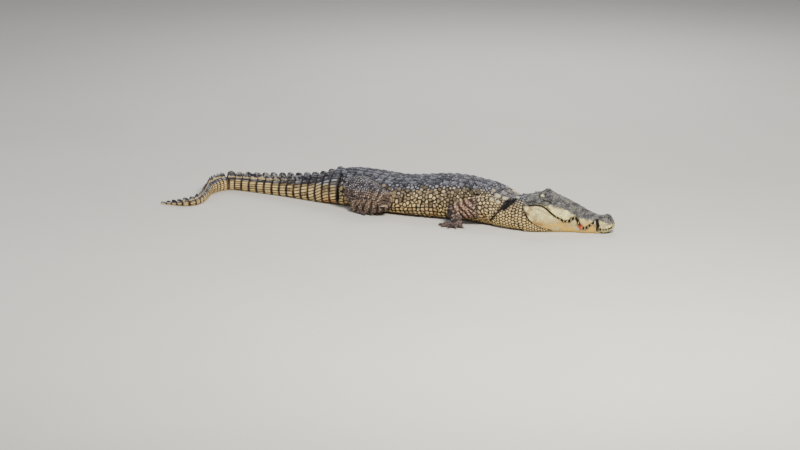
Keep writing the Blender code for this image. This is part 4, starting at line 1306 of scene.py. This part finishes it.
# ---- Materials: shader maths written as ordinary expressions ----
class Wire:
    """A value in a material. Arithmetic on it adds the Math node that does it."""

    def __init__(self, paint, socket):
        self.paint, self.socket = paint, socket

    def maths(self, operation, *others, swap=False):
        values = [self, *others]
        return self.paint.node("ShaderNodeMath", {"operation": operation}, values[::-1] if swap else values)

    def __add__(self, other):
        return self.maths("ADD", other)

    def __radd__(self, other):
        return self.maths("ADD", other, swap=True)

    def __sub__(self, other):
        return self.maths("SUBTRACT", other)

    def __rsub__(self, other):
        return self.maths("SUBTRACT", other, swap=True)

    def __mul__(self, other):
        return self.maths("MULTIPLY", other)

    def __rmul__(self, other):
        return self.maths("MULTIPLY", other, swap=True)

    def __pow__(self, other):
        return self.maths("POWER", other)

    def absolute(self):
        return self.maths("ABSOLUTE")

    def smaller(self, other):
        return self.maths("MINIMUM", other)

    def larger(self, other):
        return self.maths("MAXIMUM", other)

    def between(self, low, high):
        """0 at low and below, 1 at high and above, with a smooth step between."""
        settings = {"interpolation_type": "SMOOTHSTEP"}
        return self.paint.node("ShaderNodeMapRange", settings, [self, low, high, 0.0, 1.0])


class Paint:
    """A material being made: its nodes are added by calls, and its values are wires."""

    def __init__(self, name):
        self.material = bpy.data.materials.new(name)
        self.material.use_nodes = True
        self.tree = self.material.node_tree
        self.shader = self.tree.nodes["Principled BSDF"]

    def put(self, socket, value):
        if isinstance(value, Wire):
            self.tree.links.new(value.socket, socket)
        elif value is not None:
            socket.default_value = value

    def node(self, kind, settings=None, inputs=(), output=0):
        """Any node: its settings first, then its inputs in order or by name, as values or wires."""
        made = self.tree.nodes.new(kind)
        for key, value in (settings or {}).items():
            setattr(made, key, value)
        pairs = inputs.items() if isinstance(inputs, dict) else enumerate(inputs)
        for key, value in pairs:
            self.put(made.inputs[key], value)
        return Wire(self, made.outputs[output])

    def mark(self, name):
        return self.node("ShaderNodeAttribute", {"attribute_name": name}, output="Fac")

    def place(self, scale=(1, 1, 1)):
        there = self.node("ShaderNodeTexCoord", output="Object")
        return self.node("ShaderNodeVectorMath", {"operation": "MULTIPLY"}, [there, scale])

    def noise(self, scale, detail=4.0, roughness=0.55, place=None):
        inputs = {"Vector": place or self.place(), "Scale": scale, "Detail": detail, "Roughness": roughness}
        return self.node("ShaderNodeTexNoise", {}, inputs)

    def pebbles(self, scale, place=None):
        """Distance to the nearest crack of a fine cell pattern."""
        inputs = {"Vector": place or self.place(), "Scale": scale}
        return self.node("ShaderNodeTexVoronoi", {"feature": "DISTANCE_TO_EDGE"}, inputs)

    def blend(self, share, a, b):
        """Colour a where share is 0 and b where it is 1."""
        colour = lambda c: c if isinstance(c, Wire) else (*c, 1.0)
        inputs = {0: share, 6: colour(a), 7: colour(b)}
        return self.node("ShaderNodeMix", {"data_type": "RGBA"}, inputs, output=2)

    def brighten(self, colour, factor):
        return self.node("ShaderNodeVectorMath", {"operation": "SCALE"}, {"Vector": colour, "Scale": factor})

    def bumps(self, height, distance, strength=1.0, under=None):
        inputs = {"Height": height, "Distance": distance, "Strength": strength, "Normal": under}
        return self.node("ShaderNodeBump", {}, inputs)

    def finish(self, **inputs):
        for key, value in inputs.items():
            self.put(self.shader.inputs[key.replace("_", " ")], value)
        return self.material


# Colours of the animal, as linear light. The blue cast of BLUE_BLACK, SLATE, SLATE_PALE, INK, HORN and
# SNOUT_DARK is painted sky reflection; their darkness is the animal's own.
BLACK = (0.006, 0.005, 0.005)
BLUE_BLACK = (0.012, 0.014, 0.026)
SLATE = (0.070, 0.073, 0.098)
SLATE_PALE = (0.330, 0.335, 0.350)
BROWN_BLACK = (0.014, 0.009, 0.007)
OLIVE = (0.120, 0.100, 0.070)
FLANK = (0.210, 0.150, 0.085)
TAN = (0.620, 0.480, 0.245)
SAND = (0.760, 0.560, 0.230)
BELLY = (0.560, 0.480, 0.310)
SNOUT_DARK = (0.030, 0.033, 0.044)
SNOUT_PALE = (0.165, 0.160, 0.140)
NAPE = (0.430, 0.385, 0.255)
INK = (0.022, 0.024, 0.036)
UMBER = (0.048, 0.040, 0.034)
HORN_TAN = (0.290, 0.220, 0.135)
CHEEK = (0.800, 0.700, 0.310)
CHEEK_SHADE = (0.300, 0.290, 0.190)
OCHRE = (0.620, 0.380, 0.060)
HORN = (0.098, 0.101, 0.128)
SHIN = (0.300, 0.205, 0.135)
LIMB_DARK = (0.022, 0.015, 0.017)
LIMB = (0.110, 0.078, 0.072)
LIMB_PALE = (0.440, 0.330, 0.250)
PINK = (0.430, 0.240, 0.160)
STAIN = (0.190, 0.090, 0.038)
RUST = (0.480, 0.190, 0.040)
GUM = (0.480, 0.060, 0.028)


def trunk_paint(p, dome, tone, top, broad, middle, fine):
    """Colours of the neck, trunk and tail: slate scales above, pale tan ones in brown below."""
    slate = p.blend(middle.between(0.36, 0.64), BLUE_BLACK, SLATE)
    slate = p.blend(dome * tone.between(0.15, 1.0) * 0.85, slate, SLATE_PALE)
    height = p.mark("height")
    base = p.blend(height.between(0.17, 0.10), OLIVE, FLANK)
    base = p.blend(middle.between(0.35, 0.60), BROWN_BLACK, base)
    pearl = p.blend(height.between(0.13, 0.045) * 0.8, TAN, SAND)
    flank = p.blend(dome * (0.16 + 0.84 * (tone + height.between(0.15, 0.06) * 0.35).between(0.20, 0.95)),
                    base, pearl)
    stained = (broad + fine * 0.2).between(0.70, 0.78) * tone.between(0.35, 0.8) * height.between(0.13, 0.06)
    flank = p.blend(stained * 0.85, flank, STAIN)
    return p.blend(top, flank, slate), slate


def head_paint(p, top, middle, fine):
    """Colours of the head: blue-grey above, mottled on the snout, cream cheeks and an ochre jaw."""
    spots = fine + (middle - 0.5) * 0.8
    brow = p.blend(spots.between(0.42, 0.62), SNOUT_DARK, SNOUT_PALE)
    cheek = p.blend(spots.between(0.42, 0.64) * 0.85, CHEEK, CHEEK_SHADE)
    cheek = p.blend(p.mark("ochre") * (0.35 + middle).between(0.55, 0.90), cheek, OCHRE)
    cheek = p.blend(p.mark("ochre") * (fine - (middle - 0.5) * 0.6).between(0.44, 0.56) * 0.75, cheek,
                    CHEEK_SHADE)
    cheek = p.blend(p.mark("nose") * spots.between(0.38, 0.58) * 0.85, cheek, SNOUT_DARK)
    head = p.blend(top, cheek, brow)
    return p.blend(p.mark("stain") * spots.between(0.38, 0.60) * 0.8, head, STAIN)


def hide_paint():
    """Scaled hide: blue-black back, its blue painted sky reflection, tan flanks with dark grooves, pale face
    and belly, purple-brown limbs, and painted shade blackening folds, creases and recesses.
    """
    p = Paint("scaled hide")
    groove, tone, dome, belly = p.mark("groove"), p.mark("tone"), p.mark("dome"), p.mark("belly")
    back, limb, face = p.mark("back"), p.mark("limb"), p.mark("face")
    broad, middle, fine = p.noise(5.0, 3.0), p.noise(30.0, 4.0), p.noise(150.0, 4.0, 0.65)
    top = (back + (middle - 0.5) * 1.1 + (tone - 0.5) * 0.35 * (1 - face)).between(0.28, 0.74)
    colour, slate = trunk_paint(p, dome, tone, top, broad, middle, fine)
    colour = p.blend(belly * (1 - limb) * 0.75, colour, BELLY)
    colour = p.blend(face, colour, head_paint(p, top, middle, fine))
    skin = p.blend(middle.between(0.35, 0.62), LIMB_DARK, LIMB)
    skin = p.blend(p.mark("shin") * middle.between(0.30, 0.60) * 0.75, skin, SHIN)
    skin = p.blend(p.mark("pink") * middle.between(0.25, 0.55) * 0.80, skin, PINK)
    skin = p.blend(dome * tone.between(0.15, 0.85) * (0.90 - 0.75 * p.mark("paw")), skin, LIMB_PALE)
    skin = p.blend(top * 0.85, skin, slate)
    colour = p.blend(limb, colour, skin)
    colour = p.blend(p.mark("rust") * middle.between(0.40, 0.58) * dome, colour, RUST)
    colour = p.blend(groove * (0.98 - 0.5 * belly), colour, BROWN_BLACK)
    # Painted shade: folds, creases, recesses, the armpits and the limbs' joins blackened.
    colour = p.blend(p.mark("crease").smaller(1.0), colour, BLACK)
    colour = p.blend(p.mark("gum"), colour, GUM)
    # Painted shade: the eye's opening and lids darkened.
    colour = p.blend(p.mark("lid") * 0.85, colour, BLUE_BLACK)
    colour = p.brighten(colour, 0.60 + 0.80 * fine)
    cracks, wrinkles = p.pebbles(95.0), p.noise(420.0, 3.0, 0.6)
    first = p.bumps(cracks.between(0.0, 0.12), 0.0006, 0.55)
    second = p.bumps(middle * 0.5 + fine * 0.5, 0.0045, 0.8, first)
    normal = p.bumps(wrinkles, 0.0005, 0.5, second)
    rough = 0.60 + 0.20 * fine - 0.08 * back + 0.16 * groove
    return p.finish(Base_Color=colour, Roughness=rough, Normal=normal, Specular_IOR_Level=0.22)


def scute_paint(name, dark, pale, worn):
    """Bony scutes: dark horn, each its own shade, worn pale along the keel, blackened at the rim as painted
    shade in the joints between them.
    """
    p = Paint(name)
    ridge, rim, tone, aside = p.mark("ridge"), p.mark("rim"), p.mark("tone"), p.mark("aside")
    middle, fine = p.noise(45.0, 4.0), p.noise(220.0, 4.0, 0.65)
    colour = p.blend((tone + (middle - 0.5) * 1.2).between(0.20, 0.85), dark, pale)
    colour = p.blend(aside.between(0.85, 1.35) * (0.15 + 0.55 * middle.between(0.40, 0.65)), colour, worn)
    colour = p.blend((ridge + (middle - 0.5) * 0.6).between(0.25, 0.80) * (0.20 + 0.40 * tone), colour, worn)
    colour = p.blend(p.mark("nape") * middle.between(0.20, 0.50), colour, NAPE)
    # Painted shade: each scute blackened toward its rim.
    colour = p.blend(rim.between(0.20, 0.90), colour, BLACK)
    colour = p.brighten(colour, 0.62 + 0.76 * fine)
    pits = p.pebbles(210.0)
    first = p.bumps(pits.between(0.0, 0.18), 0.0007, 0.6)
    normal = p.bumps(middle * 0.5 + fine * 0.5, 0.0028, 0.7, first)
    return p.finish(Base_Color=colour, Roughness=0.52 + 0.24 * fine, Normal=normal, Specular_IOR_Level=0.30)


def crest_paint():
    """Upright tail blades: blue-black, paler at a worn edge, with pale tan roots toward the tail's tip, and
    black painted shade at the edges where blades meet.
    """
    p = Paint("crest horn")
    up, run = p.mark("up_blade"), p.mark("run")
    middle, fine = p.noise(50.0, 4.0), p.noise(240.0, 4.0, 0.65)
    colour = p.blend(middle.between(0.36, 0.64), BLUE_BLACK, SLATE)
    colour = p.blend((middle + (fine - 0.5) * 0.8).between(0.52, 0.70) * 0.75, colour, SLATE_PALE)
    colour = p.blend((up + (middle - 0.5) * 0.5).between(0.80, 1.0) * 0.35, colour, TAN)
    colour = p.blend((up - (middle - 0.5)).between(0.50, 0.25) * run.between(0.62, 0.74) * 0.8, colour, TAN)
    # Painted shade: each blade blackened at its front and back edges, where it meets the next.
    colour = p.blend(p.mark("rim").between(0.55, 0.95), colour, BLACK)
    colour = p.brighten(colour, 0.62 + 0.76 * fine)
    grooves = p.noise(90.0, 3.0, 0.6, p.place((1.0, 1.0, 0.25)))
    normal = p.bumps(grooves * 0.6 + fine * 0.4, 0.0026, 0.7)
    return p.finish(Base_Color=colour, Roughness=0.52 + 0.24 * fine, Normal=normal, Specular_IOR_Level=0.30)


def horn_paint(name, root, tip, roughness, stain):
    """A tooth or claw, from the colour of its root to that of its tip, with fine lines and stains."""
    p = Paint(name)
    up = p.mark("up_horn")
    fine = p.noise(300.0, 4.0, 0.6)
    streaks = p.noise(420.0, 2.0, 0.5, p.place((1.0, 1.0, 0.2)))
    colour = p.blend((up + (fine - 0.5) * 0.3).between(0.15, 0.65), root, tip)
    colour = p.blend(streaks.between(0.5, 0.75) * stain, colour, STAIN)
    return p.finish(Base_Color=colour, Roughness=roughness + 0.15 * fine,
                    Normal=p.bumps(streaks, 0.0004, 0.4))


def eye_paint():
    """A yellow-green iris with a dark upright slit, under a wet clear surface."""
    p = Paint("wet eye")
    ahead, above = p.mark("ahead"), p.mark("above")
    out = (ahead * ahead + above * above) ** 0.5
    fine = p.noise(420.0, 4.0, 0.7)
    iris = p.blend(fine.between(0.35, 0.7), (0.300, 0.290, 0.150), (0.560, 0.560, 0.360))
    iris = p.blend(out.between(0.46, 0.70), iris, (0.090, 0.080, 0.040))
    slit = (ahead.absolute() - 0.085 * (1 - (above * 2.0) ** 2.0).larger(0.0)).between(0.018, -0.012)
    colour = p.blend(slit, iris, (0.002, 0.002, 0.002))
    colour = p.blend(out.between(0.66, 0.74), colour, (0.035, 0.026, 0.018))
    return p.finish(Base_Color=colour, Roughness=0.16 + 0.10 * fine, Coat_Weight=1.0, Coat_Roughness=0.03,
                    Normal=p.bumps(fine, 0.0002, 0.2))


def floor_paint():
    p = Paint("pale floor")
    fine, broad = p.noise(60.0, 4.0), p.noise(0.8, 2.0)
    colour = p.blend(broad, (0.56, 0.545, 0.52), (0.62, 0.605, 0.58))
    return p.finish(Base_Color=colour, Roughness=0.86 + 0.06 * fine, Normal=p.bumps(fine, 0.001, 0.1))


# ---- The scene ----
def dress(piece, material):
    piece.data.materials.clear()
    piece.data.materials.append(material)
    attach(piece, "root")
    return piece


def flesh_nodes():
    names = ["head", "lower_jaw", "neck", "trunk_front", "trunk_rear", "tail_base", "tail_middle",
             "tail_bend", "tail_end"]
    lengths = ("upper_arm", "forearm", "hand", "thigh", "shank", "foot")
    return names + [f"{length}_{side}" for length in lengths for side in ("right", "left")]


def claw_nodes():
    hand = [f"hand_claw_{k}_{side}" for k in (3, 4, 5) for side in ("right", "left")]
    return hand + [f"foot_claw_{k}_{side}" for k in (1, 2, 3) for side in ("right", "left")]


def make_crocodile():
    skin, skin_tree = make_hide()
    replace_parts(dress(skin, hide_paint()), *flesh_nodes())
    dress(scutes("back_scutes", scute_plan(), skin_tree, 3.6),
          scute_paint("back scute", INK, HORN, SLATE_PALE))
    dress(scutes("flank_scutes", flank_plan(), skin_tree, 2.6),
          scute_paint("flank scute", UMBER, HORN_TAN, FLANK))
    dress(scutes("tail_scutes", tail_plan(), skin_tree, 4.0), scute_paint("tail scute", INK, HORN, TAN))
    dress(crests("tail_crest", crest_plan()), crest_paint())
    dress(teeth(), horn_paint("ivory tooth", (0.30, 0.22, 0.12), (0.52, 0.46, 0.33), 0.34, 0.35))
    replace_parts(dress(claws(), horn_paint("dark claw", (0.05, 0.04, 0.03), (0.20, 0.16, 0.11), 0.38, 0.4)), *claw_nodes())
    for side, sign in (("right", -1), ("left", 1)):
        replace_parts(dress(eye(f"eyeball_{side}", sign), eye_paint()), f"eye_{side}")


def area_light(name, place, target, size, power, colour):
    data = bpy.data.lights.new(name, "AREA")
    data.shape, data.size, data.size_y = "RECTANGLE", size, size
    data.energy, data.color = power, colour
    light = bpy.data.objects.new(name, data)
    light.location = place
    light.rotation_euler = (Vector(target) - Vector(place)).to_track_quat("-Z", "Y").to_euler()
    bpy.context.scene.collection.objects.link(light)


CAMERA_TURN, CAMERA_RISE, CAMERA_FAR, CAMERA_LENS = 25.0, 14.0, 25.0, 180.4
LOOK_AT = (0.163, -0.287, 0.0)


def set_stage():
    points = np.array([(-30, -30, 0), (30, -30, 0), (30, 30, 0), (-30, 30, 0)], float)
    floor = mesh_object("floor", points, [(0, 1, 2, 3)])
    floor.data.materials.append(floor_paint())
    area_light("key", (3.6, -3.4, 4.6), (0, 0, 0.1), 1.8, 760, (1.0, 0.94, 0.84))
    area_light("fill", (-4.5, -4.0, 3.2), (0, 0, 0.1), 4.0, 120, (0.84, 0.91, 1.0))
    area_light("rim", (-1.0, 5.0, 4.0), (0, 0, 0.1), 3.0, 220, (1.0, 0.98, 0.94))
    world = bpy.data.worlds.new("studio")
    world.use_nodes = True
    world.node_tree.nodes["Background"].inputs["Color"].default_value = (0.80, 0.84, 0.90, 1.0)
    world.node_tree.nodes["Background"].inputs["Strength"].default_value = 0.36
    bpy.context.scene.world = world
    turn, rise = math.radians(CAMERA_TURN), math.radians(CAMERA_RISE)
    back = Vector((math.sin(turn) * math.cos(rise), -math.cos(turn) * math.cos(rise), math.sin(rise)))
    data = bpy.data.cameras.new("camera")
    data.lens, data.sensor_width, data.clip_end = CAMERA_LENS, 36.0, 200.0
    camera = bpy.data.objects.new("camera", data)
    camera.location = Vector(LOOK_AT) + back * CAMERA_FAR
    camera.rotation_euler = (-back).to_track_quat("-Z", "Y").to_euler()
    bpy.context.scene.collection.objects.link(camera)
    bpy.context.scene.camera = camera


make_crocodile()
set_stage()
